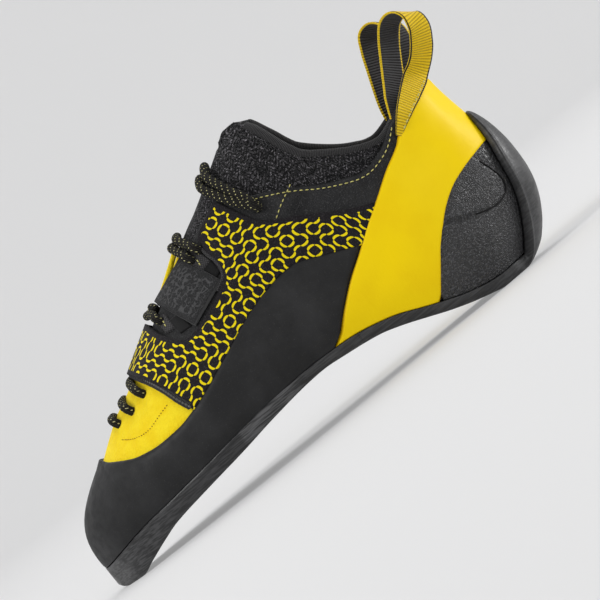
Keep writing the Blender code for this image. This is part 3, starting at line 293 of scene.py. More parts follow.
class Last:
    """The shoe's outer leather surface, as ribs between the sole line and the ridge or rim.

    A rib has a station number q: 0 to 1 fans around the toe, 1 to 2 are planes across the shoe and 2
    to 3 fans around the heel. Along a rib v runs from 0 at the sole line to 1 at the ridge or rim.
    """

    samples = 401
    least_rise = 0.002
    foot_handle = 0.6
    low_handles = (0.3, 0.5)

    def __init__(self) -> None:
        """Build the plan outline and the curves that shape the ribs."""
        along = column(OUTLINE_ROWS, OUTLINE_COLUMNS, "along") * SHOE_LENGTH
        outer = column(OUTLINE_ROWS, OUTLINE_COLUMNS, "outer") * BALL_WIDTH
        inner = column(OUTLINE_ROWS, OUTLINE_COLUMNS, "inner") * BALL_WIDTH
        outer_edge = np.stack([along, outer], axis=1)
        inner_edge = np.stack([along, inner], axis=1)[-2:0:-1]
        self.plan = PlanSpline(np.concatenate([outer_edge, inner_edge]))
        self.heel_t = self.plan.knots[len(along) - 1]
        self.full_t = self.plan.knots[-1]
        self.pole = TOE_POLE * SHOE_LENGTH
        self.heel_turn = HEEL_TURN * SHOE_LENGTH
        self.line = table_curve(OUTLINE_ROWS, OUTLINE_COLUMNS, "line", ARCH_RISE)
        self.swell = {
            Side.OUTER: table_curve(BODY_ROWS, BODY_COLUMNS, "outer_swell", BALL_WIDTH),
            Side.INNER: table_curve(BODY_ROWS, BODY_COLUMNS, "inner_swell", BALL_WIDTH),
        }
        self.widest = table_curve(BODY_ROWS, BODY_COLUMNS, "widest", INSTEP_HEIGHT)
        self.flank = table_curve(BODY_ROWS, BODY_COLUMNS, "flank", 1.0)
        self.shoulder = table_curve(BODY_ROWS, BODY_COLUMNS, "shoulder", 1.0)
        self.top_along = self.joined("top_along", "top_along", SHOE_LENGTH, SHOE_LENGTH)
        self.top_across = {
            Side.OUTER: self.joined("across", "outer", BALL_WIDTH, BALL_WIDTH),
            Side.INNER: self.joined("across", "inner", BALL_WIDTH, BALL_WIDTH),
        }
        self.top_up = {
            Side.OUTER: self.joined("up", "outer_up", INSTEP_HEIGHT, HEEL_HEIGHT),
            Side.INNER: self.joined("up", "inner_up", INSTEP_HEIGHT, HEEL_HEIGHT),
        }
        opens = np.concatenate([np.zeros(len(RIDGE_ROWS)), column(RIM_ROWS, RIM_COLUMNS, "open")])
        self.open = SmoothCurve(self.joined_along(), opens)
        self.ways = {side: self.way_table(side) for side in SIDES}
        self.nets: dict[Side, tuple[Array, Array, Array]] = {}

    @staticmethod
    def joined_along() -> Array:
        """Return the places along the shoe of the ridge rows and the rim rows, in metres."""
        ridge = column(RIDGE_ROWS, RIDGE_COLUMNS, "along")
        return np.concatenate([ridge, column(RIM_ROWS, RIM_COLUMNS, "along")]) * SHOE_LENGTH

    def joined(self, ridge_name: str, rim_name: str, ridge_size: float, rim_size: float) -> SmoothCurve:
        """Return one smooth curve through a ridge column and the rim column that goes on from it."""
        ridge = column(RIDGE_ROWS, RIDGE_COLUMNS, ridge_name) * ridge_size
        rim = column(RIM_ROWS, RIM_COLUMNS, rim_name) * rim_size
        return SmoothCurve(self.joined_along(), np.concatenate([ridge, rim]))

    def way_table(self, side: Side) -> tuple[Array, Array]:
        """Return spline parameters and their ways along the shoe, from toe to heel on one side."""
        share = np.linspace(0.0, 1.0, 8001)
        reach = self.heel_t if side is Side.OUTER else self.heel_t - self.full_t
        t = share * reach
        return t, np.maximum.accumulate(self.plan(t)[:, 0] + share * 1e-9)

    def station(self, side: Side, q: Array) -> Array:
        """Turn station numbers into the spline's parameter."""
        t, along = self.ways[side]
        toe = np.interp(self.pole, along, t)
        heel = np.interp(self.heel_turn, along, t)
        q = np.asarray(q, float)
        middle = np.interp(self.pole + (q - 1) * (self.heel_turn - self.pole), along, t)
        fans = np.where(q < 1, q * toe, heel + (q - 2) * (t[-1] - heel))
        return np.where((q >= 1) & (q <= 2), middle, fans)

    def number(self, side: Side, share: float) -> float:
        """Return the station number of the rib whose foot is at a share of the length."""
        along = share * SHOE_LENGTH
        if self.pole <= along <= self.heel_turn:
            return 1 + (along - self.pole) / (self.heel_turn - self.pole)
        numbers = np.linspace(0.0, 1.0, 401) + (0 if along < self.pole else 2)
        return float(np.interp(along, self.plan(self.station(side, numbers))[:, 0], numbers))

    def shares(self, side: Side, q: Array) -> Array:
        """Return how far along the shoe the feet of the ribs stand, as shares of its length."""
        return self.plan(self.station(side, q))[..., 0] / SHOE_LENGTH

    def points(self, side: Side, q: Array, v: Array) -> Array:
        """Return points of the surface.

        A rib is two cubic arcs: one from the sole line out to the widest place, one from there in to
        the ridge or up to the rim.

        Args:
            side: side of the foot.
            q: station numbers.
            v: heights on the ribs.

        Returns:
            Points as (way along, y, z) in metres.
        """
        q, v = np.broadcast_arrays(np.asarray(q, float), np.asarray(v, float))
        t = self.station(side, q)
        foot = self.plan(t)
        small = 1e-5
        run = self.plan(t + small) - self.plan(t - small)
        run = run / np.linalg.norm(run, axis=-1, keepdims=True)
        out = np.stack([run[..., 1], -run[..., 0]], axis=-1)
        exact = self.pole + (q - 1) * (self.heel_turn - self.pole)
        along = np.where((q >= 1) & (q <= 2), exact, foot[..., 0])
        low = self.line(along) + SOLE_LEDGE
        wide = foot + out * self.swell[side](along)[..., None]
        high = np.maximum(self.widest(along), low + self.least_rise)
        top = np.stack([self.top_along(along), self.top_across[side](along)], axis=-1)
        peak = np.maximum(self.top_up[side](along), high + self.least_rise)
        lean = self.open(along)[..., None]
        flank = self.flank(along)
        shoulder = self.shoulder(along)

        def arc(u: Array, p0: Array, p1: Array, p2: Array, p3: Array) -> Array:
            """Return a cubic Bezier arc at u."""
            u = u[..., None] if p0.ndim > u.ndim else u
            return (1 - u) ** 3 * p0 + 3 * u * (1 - u) ** 2 * p1 + 3 * u**2 * (1 - u) * p2 + u**3 * p3

        below = np.clip(v / LOWER_SHARE, 0, 1)
        above = np.clip((v - LOWER_SHARE) / (1 - LOWER_SHARE), 0, 1)
        first, second = self.low_handles
        low_plan = arc(below, foot, foot + self.foot_handle * (wide - foot), wide, wide)
        low_up = arc(below, low, low + first * (high - low), high - second * (high - low), high)
        inward = top + shoulder[..., None] * (wide - top)
        high_plan = arc(above, wide, wide, (1 - lean) * inward + lean * top, top)
        drop = (inward[..., 0] - top[..., 0]) * RIDGE_SLOPE * (1 - lean[..., 0])
        wall_up = peak - shoulder * (peak - high)
        handle = (1 - lean[..., 0]) * (peak + drop) + lean[..., 0] * wall_up
        high_up = arc(above, high, high + flank * (peak + drop - high), handle, peak)
        is_low = v <= LOWER_SHARE
        plan = np.where(is_low[..., None], low_plan, high_plan)
        up = np.where(is_low, low_up, high_up)
        return np.concatenate([plan, up[..., None]], axis=-1)

    def normals(self, side: Side, q: Array, v: Array) -> Array:
        """Return outward unit normals, from the surface's slopes along and up the ribs."""
        q, v = np.broadcast_arrays(np.asarray(q, float), np.asarray(v, float))
        v = np.clip(v, 0.004, 0.975)
        step = 0.003
        forth = np.clip(q, step, 3 - step)
        along = self.points(side, forth + step, v) - self.points(side, forth - step, v)
        up = self.points(side, q, v + step) - self.points(side, q, v - step)
        normal = np.cross(along, up) * (-side.value)
        return normal / np.maximum(np.linalg.norm(normal, axis=-1, keepdims=True), 1e-12)

    def ways_out(self, side: Side, q: Array, v: Array) -> Array:
        """Return the ways of thickening: normals that agree on both sides where they meet on the ridge."""
        q, v = np.broadcast_arrays(np.asarray(q, float), np.asarray(v, float))
        own = self.normals(side, q, v)
        numbers = np.maximum(q, 1)
        both = [self.normals(s, numbers, np.ones_like(v)) for s in SIDES]
        near = np.clip((v - 0.9) / 0.1, 0, 1)[..., None]
        exact = self.pole + (numbers - 1) * (self.heel_turn - self.pole)
        near = near * (1 - self.open(exact))[..., None] * (q < 2)[..., None]
        mixed = (1 - near) * own + near * (both[0] + both[1]) / 2
        return mixed / np.maximum(np.linalg.norm(mixed, axis=-1, keepdims=True), 1e-12)

    def height(self, side: Side, q: Array, edge: Callable[[Array], Array], shift: float = 0.0) -> Array:
        """Return the v at which each rib first crosses an edge drawn in the side view.

        Args:
            side: side of the foot.
            q: station numbers.
            edge: height of the edge over the way along.
            shift: how far above the edge the crossing lies, in metres.

        Returns:
            One v for each rib.
        """
        q = np.atleast_1d(q)
        samples = np.linspace(0.0, 1.0, self.samples)
        rib = self.points(side, q[:, None], samples[None, :])
        over = rib[..., 2] - edge(rib[..., 0]) - shift
        hit = over >= 0
        k = np.argmax(hit, axis=1)
        rows = np.arange(len(q))
        before = over[rows, np.maximum(k - 1, 0)]
        after = over[rows, k]
        share = np.where(k > 0, -before / np.where(after > before, after - before, 1.0), 0.0)
        found = samples[np.maximum(k - 1, 0)] + share * (samples[1] - samples[0])
        return np.where(hit.any(axis=1), np.where(k == 0, 0.0, found), 1.0)

    def beside_ridge(self, side: Side, q: Array, reach: Array) -> Array:
        """Return the v at which each rib is a given way across from the ridge."""
        q = np.atleast_1d(q)
        samples = np.linspace(LOWER_SHARE, 1.0, self.samples)
        rib = self.points(side, q[:, None], samples[None, :])
        across = np.abs(rib[..., 1] - rib[:, -1:, 1])
        reach = np.broadcast_to(reach, q.shape)
        near = np.argmax(across <= reach[:, None] + 1e-12, axis=1)
        rows = np.arange(len(q))
        last_far = np.maximum(near - 1, 0)
        far = across[rows, last_far]
        close = across[rows, near]
        share = np.where(far > close, (far - reach) / np.where(far > close, far - close, 1.0), 0.0)
        return samples[last_far] + np.clip(share, 0, 1) * (samples[1] - samples[0])

    def locate(self, side: Side, along: Array, up: Array) -> tuple[Array, Array]:
        """Return the q and v of the points that show at given places of the side view.

        The nearest point of a fine net is found first, and then three Newton steps close the gap.

        Args:
            side: side of the foot.
            along: ways along the shoe, in metres.
            up: heights, in metres.

        Returns:
            Station numbers and heights on the ribs.
        """
        if side not in self.nets:
            q_net, v_net = np.meshgrid(np.linspace(0, 3, 361), np.linspace(0, 1, 181), indexing="ij")
            net = self.points(side, q_net, v_net)[..., [0, 2]].reshape(-1, 2)
            self.nets[side] = (q_net.ravel(), v_net.ravel(), net)
        q_net, v_net, net = self.nets[side]
        goal = np.stack(np.broadcast_arrays(np.asarray(along, float), np.asarray(up, float)), axis=-1)
        shape = goal.shape[:-1]
        goal = goal.reshape(-1, 2)
        near = np.array([np.argmin(((net - g) ** 2).sum(axis=1)) for g in goal])
        q, v = q_net[near], v_net[near]
        step, furthest = 1e-3, 0.02
        for _ in range(3):
            here = self.points(side, q, v)[..., [0, 2]]
            by_q = (self.points(side, q + step, v)[..., [0, 2]] - here) / step
            by_v = (self.points(side, q, np.clip(v + step, 0, 1))[..., [0, 2]] - here) / step
            gap = goal - here
            det = by_q[:, 0] * by_v[:, 1] - by_q[:, 1] * by_v[:, 0]
            det = np.where(np.abs(det) < 1e-9, 1e9, det)
            move_q = (gap[:, 0] * by_v[:, 1] - gap[:, 1] * by_v[:, 0]) / det
            move_v = (gap[:, 1] * by_q[:, 0] - gap[:, 0] * by_q[:, 1]) / det
            q = np.clip(q + np.clip(move_q, -furthest, furthest), 0, 3)
            v = np.clip(v + np.clip(move_v, -furthest, furthest), 0, 0.999)
        return q.reshape(shape), v.reshape(shape)

    def on(self, side: Side, along: Array, up: Array, lift: Array = 0.0) -> tuple[Array, Array]:
        """Return points and normals at places of the side view, lifted off the surface.

        Args:
            side: side of the foot.
            along: ways along the shoe, in metres.
            up: heights, in metres.
            lift: how far off the surface, in metres.

        Returns:
            Points in the row's frame and unit normals.
        """
        q, v = self.locate(side, along, up)
        normal = self.ways_out(side, q, v)
        lift = np.broadcast_to(lift, q.shape)
        return to_frame(self.points(side, q, v) + normal * lift[..., None]), normal


def to_frame(points: Array) -> Array:
    """Move points from the way along the shoe to the row's frame, whose origin is under the heel."""
    return np.asarray(points, float) - (HEEL_REST, 0, 0)


@dataclass
class Stretch:
    """A stretch of the last: grids of points, of ways of thickening and of its own map in metres."""

    points: Array
    ways: Array
    chart: Array


def crowded(rows: int, strength: float = 0.6) -> Array:
    """Return shares from 0 to 1 that lie closer together near both ends."""
    share = np.linspace(0.0, 1.0, rows + 1)
    return share - strength * np.sin(2 * np.pi * share) / (2 * np.pi)


def stretch(last: Last, side: Side, q: Array, low: Array, high: Array, rows: int, seated: bool = False) -> Stretch:
    """Return the stretch of one side between two heights on each rib.

    The map's first coordinate is the way along the widest line and its second the length up the rib.
    A seated stretch moves sideways only where it stands on the sole.

    Args:
        last: the surface.
        side: side of the foot.
        q: station numbers.
        low: lower v of each rib.
        high: upper v of each rib.
        rows: how many rows of faces.
        seated: whether the lower edge stands on the sole.

    Returns:
        The stretch.
    """
    q = np.asarray(q, float)
    v = low[:, None] + (high - low)[:, None] * crowded(rows)
    numbers = np.repeat(q[:, None], rows + 1, axis=1)
    points = last.points(side, numbers, v)
    ways = last.ways_out(side, numbers, v)
    if seated:
        feet = last.points(side, numbers, np.zeros_like(v))
        near = np.clip(1 - (points[..., 2] - feet[..., 2]) / SEAT_BLEND, 0, 1)[..., None]
        flat = ways * (1, 1, 0)
        flat = flat / np.maximum((flat**2).sum(axis=-1, keepdims=True), 0.2)
        ways = near * flat + (1 - near) * ways
    fine = np.linspace(0.0, 3.0, 601)
    belt = last.points(side, fine, np.full(fine.shape, LOWER_SHARE))
    belt_way = way_along(belt)
    samples = np.linspace(0.0, 1.0, 61)
    rib = last.points(side, q[:, None], samples[None, :])
    length = np.cumsum(np.linalg.norm(np.diff(rib, axis=1), axis=2), axis=1)
    length = np.concatenate([np.zeros((len(q), 1)), length], axis=1)
    place = np.clip(v, 0, 1) * (len(samples) - 1)
    k = np.clip(place.astype(int), 0, len(samples) - 2)
    before = np.take_along_axis(length, k, axis=1)
    after = np.take_along_axis(length, k + 1, axis=1)
    up_rib = before + (after - before) * (place - k)
    chart = np.stack([np.repeat(np.interp(q, fine, belt_way)[:, None], rows + 1, axis=1), up_rib], axis=-1)
    return Stretch(points, ways, chart)


def fill_mesh(
    name: str,
    points: Array,
    faces: Array,
    materials: Sequence[Material],
    chart: Optional[Array] = None,
    edge: Optional[Array] = None,
    kinds: Optional[Array] = None,
) -> Object:
    """Make an object from whole arrays.

    Args:
        name: name of the object.
        points: vertices in the row's frame.
        faces: triangles or quads as rows of vertex numbers.
        materials: materials of the object.
        chart: map coordinates, one pair for each corner of each face.
        edge: way from the piece's border, one for each vertex, in metres.
        kinds: material number of each face.

    Returns:
        The new object, in the scene.
    """
    mesh = bpy.data.meshes.new(name)
    count, sides = faces.shape
    mesh.vertices.add(len(points))
    mesh.vertices.foreach_set("co", np.asarray(points, np.float32).ravel())
    mesh.loops.add(count * sides)
    mesh.loops.foreach_set("vertex_index", np.asarray(faces, np.int32).ravel())
    mesh.polygons.add(count)
    mesh.polygons.foreach_set("loop_start", np.arange(0, count * sides, sides, dtype=np.int32))
    if kinds is not None:
        mesh.polygons.foreach_set("material_index", np.asarray(kinds, np.int32))
    mesh.update(calc_edges=True)
    if chart is not None:
        layer = mesh.uv_layers.new(name="chart")
        layer.data.foreach_set("uv", np.asarray(chart, np.float32).ravel())
    if edge is not None:
        held = mesh.attributes.new("edge", "FLOAT", "POINT")
        held.data.foreach_set("value", np.asarray(edge, np.float32))
    mesh.shade_smooth()
    for finish in materials:
        mesh.materials.append(finish)
    made = bpy.data.objects.new(name, mesh)
    bpy.context.scene.collection.objects.link(made)
    LOG.info("%s: %d triangles", name, count * (sides - 2))
    return made


def halves(quads: Array) -> Array:
    """Cut quads along their first diagonal: all first halves, then all second halves."""
    return np.concatenate([quads[:, [0, 1, 2]], quads[:, [0, 2, 3]]])


def belt_faces(rings: int, around: int) -> tuple[Array, Array, Array]:
    """Return a stack of closed rings' vertex numbers, the numbers one place on, and its quads."""
    index = np.arange(rings * around).reshape(rings, around)
    after = np.roll(index, -1, axis=1)
    return index, after, np.stack([index[:-1], after[:-1], after[1:], index[1:]], -1).reshape(-1, 4)


def grid_faces(shape: tuple[int, int], start: int = 0) -> Array:
    """Return the quads of a grid whose first point has the number start."""
    index = start + np.arange(shape[0] * shape[1]).reshape(shape)
    quads = np.stack([index[:-1, :-1], index[1:, :-1], index[1:, 1:], index[:-1, 1:]], axis=-1)
    return quads.reshape(-1, 4)


def nearest_gap(points: Array, others: Array) -> Array:
    """Return the distance from each point to the nearest of the others, worked out in slices."""
    gaps = np.empty(len(points))
    for start in range(0, len(points), 2000):
        part = points[start : start + 2000]
        squares = (part**2).sum(axis=1)[:, None] + (others**2).sum(axis=1)[None, :] - 2 * part @ others.T
        gaps[start : start + 2000] = np.sqrt(np.maximum(squares.min(axis=1), 0))
    return gaps


def within(places: Array, outline: Array) -> Array:
    """Tell which flat places lie in an outline: those with an odd count of its edges to their right."""
    after = np.roll(outline, -1, axis=0)
    x, y = places[:, :1], places[:, 1:]
    across = (outline[:, 1] > y) != (after[:, 1] > y)
    rise = after[:, 1] - outline[:, 1]
    share = (y - outline[:, 1]) / np.where(np.abs(rise) < 1e-12, 1.0, rise)
    return (across & (x < outline[:, 0] + share * (after[:, 0] - outline[:, 0]))).sum(axis=1) % 2 == 1


Relief = Callable[[Array, Array], Array]


def shell(
    name: str,
    stretches: Sequence[Stretch],
    inner: float,
    outer: float,
    materials: Sequence[Material],
    bevel: float | Callable[[Array], Array] = 0.0009,
    relief: Optional[Relief] = None,
    closed_lip: float = 0.00018,
    free: Optional[Callable[[Array], Array]] = None,
) -> Object:
    """Make one closed wall from stretches that share edges.

    The inside lies inner off the last. The outside lies outer off it and falls to the inside at the
    border along a quarter circle as wide as the bevel.

    Args:
        name: name of the object.
        stretches: grids whose coinciding points are joined.
        inner: way of the inside off the last, in metres.
        outer: way of the outside off the last, in metres.
        materials: finish of the outside, and of the inside when there are two.
        bevel: width of the rounded border, or its width at each point.
        relief: extra way outwards, from the points and their way from the border.
        closed_lip: height of the wall left at the border.
        free: test of the border's points; only where it holds does the "edge" attribute start.

    Returns:
        The new object.
    """
    points = np.concatenate([s.points.reshape(-1, 3) for s in stretches])
    ways = np.concatenate([s.ways.reshape(-1, 3) for s in stretches])
    chart = np.concatenate([s.chart.reshape(-1, 2) for s in stretches])
    quads = []
    start = 0
    for s in stretches:
        quads.append(grid_faces(s.points.shape[:2], start))
        start += s.points.shape[0] * s.points.shape[1]
    quads = np.concatenate(quads)
    keys = np.round(points / 2e-5).astype(np.int64)
    _, first, index = np.unique(keys, axis=0, return_index=True, return_inverse=True)
    index = index.reshape(-1)
    summed = np.zeros((len(first), 3))
    np.add.at(summed, index, ways)
    counts = np.bincount(index)[:, None]
    ways = summed / counts
    points = points[first]
    corners = halves(quads)
    tris = index[corners]
    whole = (tris[:, 0] != tris[:, 1]) & (tris[:, 1] != tris[:, 2]) & (tris[:, 0] != tris[:, 2])
    tris, corners = tris[whole], corners[whole]
    a, b, c = (points[tris[:, k]] for k in range(3))
    turned = (np.cross(b - a, c - a) * ways[tris].sum(axis=1)).sum(axis=1) < 0
    tris[turned] = tris[turned][:, ::-1]
    corners[turned] = corners[turned][:, ::-1]
    count = len(points)
    pairs = np.concatenate([tris[:, [0, 1]], tris[:, [1, 2]], tris[:, [2, 0]]])
    codes = pairs[:, 0] * count + pairs[:, 1]
    back = pairs[:, 1] * count + pairs[:, 0]
    border = pairs[~np.isin(codes, back)]
    ends = points[border]
    shares = np.linspace(0, 1, 4)[None, :, None]
    rim = (ends[:, :1] * (1 - shares) + ends[:, 1:] * shares).reshape(-1, 3)
    edge = nearest_gap(points, rim) if len(rim) else np.full(count, 1.0)
    hem = edge if free is None else nearest_gap(points, rim[free(to_frame(rim))])
    near = np.clip(edge / (bevel(to_frame(points)) if callable(bevel) else bevel), 0, 1)
    thick = closed_lip + (outer - inner - closed_lip) * np.sqrt(np.maximum(1 - (1 - near) ** 2, 0))
    if relief is not None:
        thick = np.maximum(thick + relief(to_frame(points), edge), closed_lip)
    outside = points + ways * (inner + thick)[:, None]
    inside = points + ways * inner
    walls = np.stack([border[:, 1], border[:, 0], border[:, 0] + count, border[:, 1] + count], axis=-1)
    wall_tris = halves(walls)
    faces = np.concatenate([tris, tris[:, ::-1] + count, wall_tris])
    corner_chart = np.concatenate([chart[corners], chart[corners[:, ::-1]], chart[first][wall_tris % count]])
    kinds = np.zeros(len(faces), int)
    if len(materials) > 1:
        kinds[len(tris) : 2 * len(tris)] = 1
    return fill_mesh(
        name,
        to_frame(np.concatenate([outside, inside])),
        faces,
        materials,
        corner_chart.reshape(-1, 2),
        np.concatenate([hem, hem]),
        kinds,
    )


def smooth_path(points: Array, count: int) -> Array:
    """Return evenly spaced points on the centripetal curve through the given ones.

    Each stretch is a cubic whose end slopes follow the chord between the neighbours, as in a
    Catmull-Rom curve over the root of the chord lengths.
    """
    points = np.asarray(points, float)
    gaps = np.sqrt(np.maximum(np.linalg.norm(np.diff(points, axis=0), axis=1), 1e-9))
    knots = np.concatenate([[0.0], np.cumsum(gaps)])
    chords = np.diff(points, axis=0) / gaps[:, None]
    inner = (chords[:-1] * gaps[1:, None] + chords[1:] * gaps[:-1, None]) / (gaps[1:] + gaps[:-1])[:, None]
    slopes = np.concatenate([chords[:1], inner, chords[-1:]])
    t = np.linspace(0, knots[-1], 24 * len(points))
    i = np.clip(np.searchsorted(knots, t, side="right") - 1, 0, len(points) - 2)
    h = gaps[i][:, None]
    u = (t - knots[i])[:, None] / h
    curve = cubic(u, h, points[i], points[i + 1], slopes[i], slopes[i + 1])
    way = way_along(curve)
    even = np.linspace(0, way[-1], count)
    return np.stack([np.interp(even, way, curve[:, k]) for k in range(curve.shape[1])], axis=-1)


def unit(vectors: Array) -> Array:
    """Return vectors scaled to length one."""
    return vectors / np.maximum(np.linalg.norm(vectors, axis=-1, keepdims=True), 1e-12)


def tangents(path: Array) -> Array:
    """Return unit tangents of a path."""
    return unit(np.gradient(path, axis=0))


def swept(path: Array, up: Array, profile: Array) -> Array:
    """Carry a flat profile along a path.

    Args:
        path: points of the path.
        up: a way for each point that the profile's second coordinate follows.
        profile: (sideways, up) points of the closed profile, the same for each place or one for each.

    Returns:
        Points as (place, profile point, xyz).
    """
    tangent = tangents(path)
    sideways = unit(np.cross(tangent, up))
    upward = np.cross(sideways, tangent)
    profile = np.broadcast_to(profile, (len(path),) + profile.shape[-2:])
    return path[:, None] + profile[..., :1] * sideways[:, None] + profile[..., 1:] * upward[:, None]


def closed_sweep(
    name: str,
    rings: Array,
    materials: Sequence[Material],
    kinds: Optional[Array] = None,
    turn: Optional[Array] = None,
) -> Object:
    """Make a closed solid from rings of points, with a fan on its own middle point at both ends.

    The map's first coordinate is the way along and its second the way around, in metres.

    Args:
        name: name of the object.
        rings: points as (ring, place, xyz).
        materials: finishes.
        kinds: material number of each strip around the ring.
        turn: second map coordinate at each place of the ring, with the first again at the end.

    Returns:
        The new object.
    """
    count, around = rings.shape[:2]
    index, after, quads = belt_faces(count, around)
    middle = rings.mean(axis=1)
    along = way_along(middle)
    if turn is None:
        step = np.linalg.norm(np.roll(rings[count // 2], -1, axis=0) - rings[count // 2], axis=1)
        turn = np.concatenate([[0.0], np.cumsum(step)])
    net = np.stack(np.meshgrid(along, turn, indexing="ij"), axis=-1)
    at = np.stack([net[:-1, :-1], net[:-1, 1:], net[1:, 1:], net[1:, :-1]], axis=-2).reshape(-1, 4, 2)
    start, end = count * around, count * around + 1
    first = np.stack([np.full(around, start), after[0], index[0]], -1)
    final = np.stack([np.full(around, end), index[-1], after[-1]], -1)
    caps = np.concatenate([first, final])
    faces = np.concatenate([halves(quads), caps])
    points = np.concatenate([rings.reshape(-1, 3), middle[:1], middle[-1:]])
    chart = np.concatenate([halves(at), np.zeros((len(caps), 3, 2))]).reshape(-1, 2)
    strips = None
    if kinds is not None:
        body = np.tile(kinds, count - 1)
        strips = np.concatenate([body, body, np.zeros(len(caps), int)])
    made = fill_mesh(name, points, faces, materials, chart, None, strips)
    face_outwards(made)
    return made


def face_outwards(piece: Object) -> None:
    """Turn the faces of a closed piece outwards."""
    work = bmesh.new()
    work.from_mesh(piece.data)
    bmesh.ops.recalc_face_normals(work, faces=work.faces)
    work.to_mesh(piece.data)
    work.free()


def circle(radius: float, sides: int, squash: float = 1.0) -> Array:
    """Return a round profile, flattened in its second coordinate by the squash."""
    angle = np.arange(sides) * 2 * np.pi / sides
    return np.stack([radius * np.cos(angle), radius * squash * np.sin(angle)], axis=-1)


def tube(
    name: str,
    path: Array,
    up: Array,
    radius: float,
    finish: Material,
    sides: int = 14,
    squash: float = 1.0,
) -> Object:
    """Make a round cord along a path, tapered to a rounded tip at both ends."""
    share = np.linspace(0, 1, len(path))
    length = np.linalg.norm(np.diff(path, axis=0), axis=1).sum()
    tip = np.clip(np.minimum(share, 1 - share) * length / radius, TIP_SHARE, 1)
    scale = np.sqrt(np.maximum(1 - (1 - tip) ** 2, TIP_SHARE))
    profile = circle(radius, sides, squash)[None] * scale[:, None, None]
    return closed_sweep(name, swept(path, up, profile), [finish])


def stitches(
    name: str,
    runs: Sequence[tuple[Array, Array]],
    finish: Material,
    pitch: float = 0.0030,
    length: float = 0.0020,
    radius: float = 0.00034,
) -> Object:
    """Make rows of stitches as one mesh of small arched capsules.

    A capsule is five rings of six points. Its middle line is an arch whose ends dip under the surface.

    Args:
        name: name of the object.
        runs: pairs of a path on the surface and the normals along it.
        finish: thread.
        pitch: way from one stitch to the next.
        length: length of a stitch.
        radius: half the thread's thickness.

    Returns:
        The new object.
    """
    rings, sides = 5, 6
    share = np.linspace(-1, 1, rings)
    thin = np.sqrt(np.maximum(1 - 0.9 * share**4, 0.05))
    angle = np.arange(sides) * 2 * np.pi / sides
    along = (share * length / 2)[:, None] + 0 * angle
    across = radius * thin[:, None] * np.cos(angle)
    height = radius * (0.55 - 1.1 * share**2)[:, None] + radius * thin[:, None] * np.sin(angle)
    local = np.stack([along, across, height], axis=-1).reshape(-1, 3)
    body = halves(belt_faces(rings, sides)[2])
    fan = np.arange(1, sides - 1)
    first = np.stack([np.zeros_like(fan), fan + 1, fan], -1)
    final = np.stack([np.zeros_like(fan), fan, fan + 1], -1) + (rings - 1) * sides
    faces = np.concatenate([body, first, final])
    places, forward, upward = [], [], []
    for path, normals in runs:
        way = way_along(path)
        count = max(int(way[-1] / pitch), 1)
        at = (np.arange(count) + 0.5) * way[-1] / count
        tangent = tangents(path)
        places.append(np.stack([np.interp(at, way, path[:, k]) for k in range(3)], -1))
        forward.append(np.stack([np.interp(at, way, tangent[:, k]) for k in range(3)], -1))
        upward.append(np.stack([np.interp(at, way, normals[:, k]) for k in range(3)], -1))
    places, forward, upward = (np.concatenate(part) for part in (places, forward, upward))
    upward = unit(upward)
    forward = unit(forward - (forward * upward).sum(axis=1, keepdims=True) * upward)
    sideways = np.cross(upward, forward)
    basis = np.stack([forward, sideways, upward], axis=1)
    points = places[:, None] + np.einsum("pk,nkx->npx", local, basis)
    every = (faces[None] + (np.arange(len(places)) * len(local))[:, None, None]).reshape(-1, 3)
    chart = np.zeros((every.size, 2))
    made = fill_mesh(name, points.reshape(-1, 3), every, [finish], chart)
    face_outwards(made)
    return made


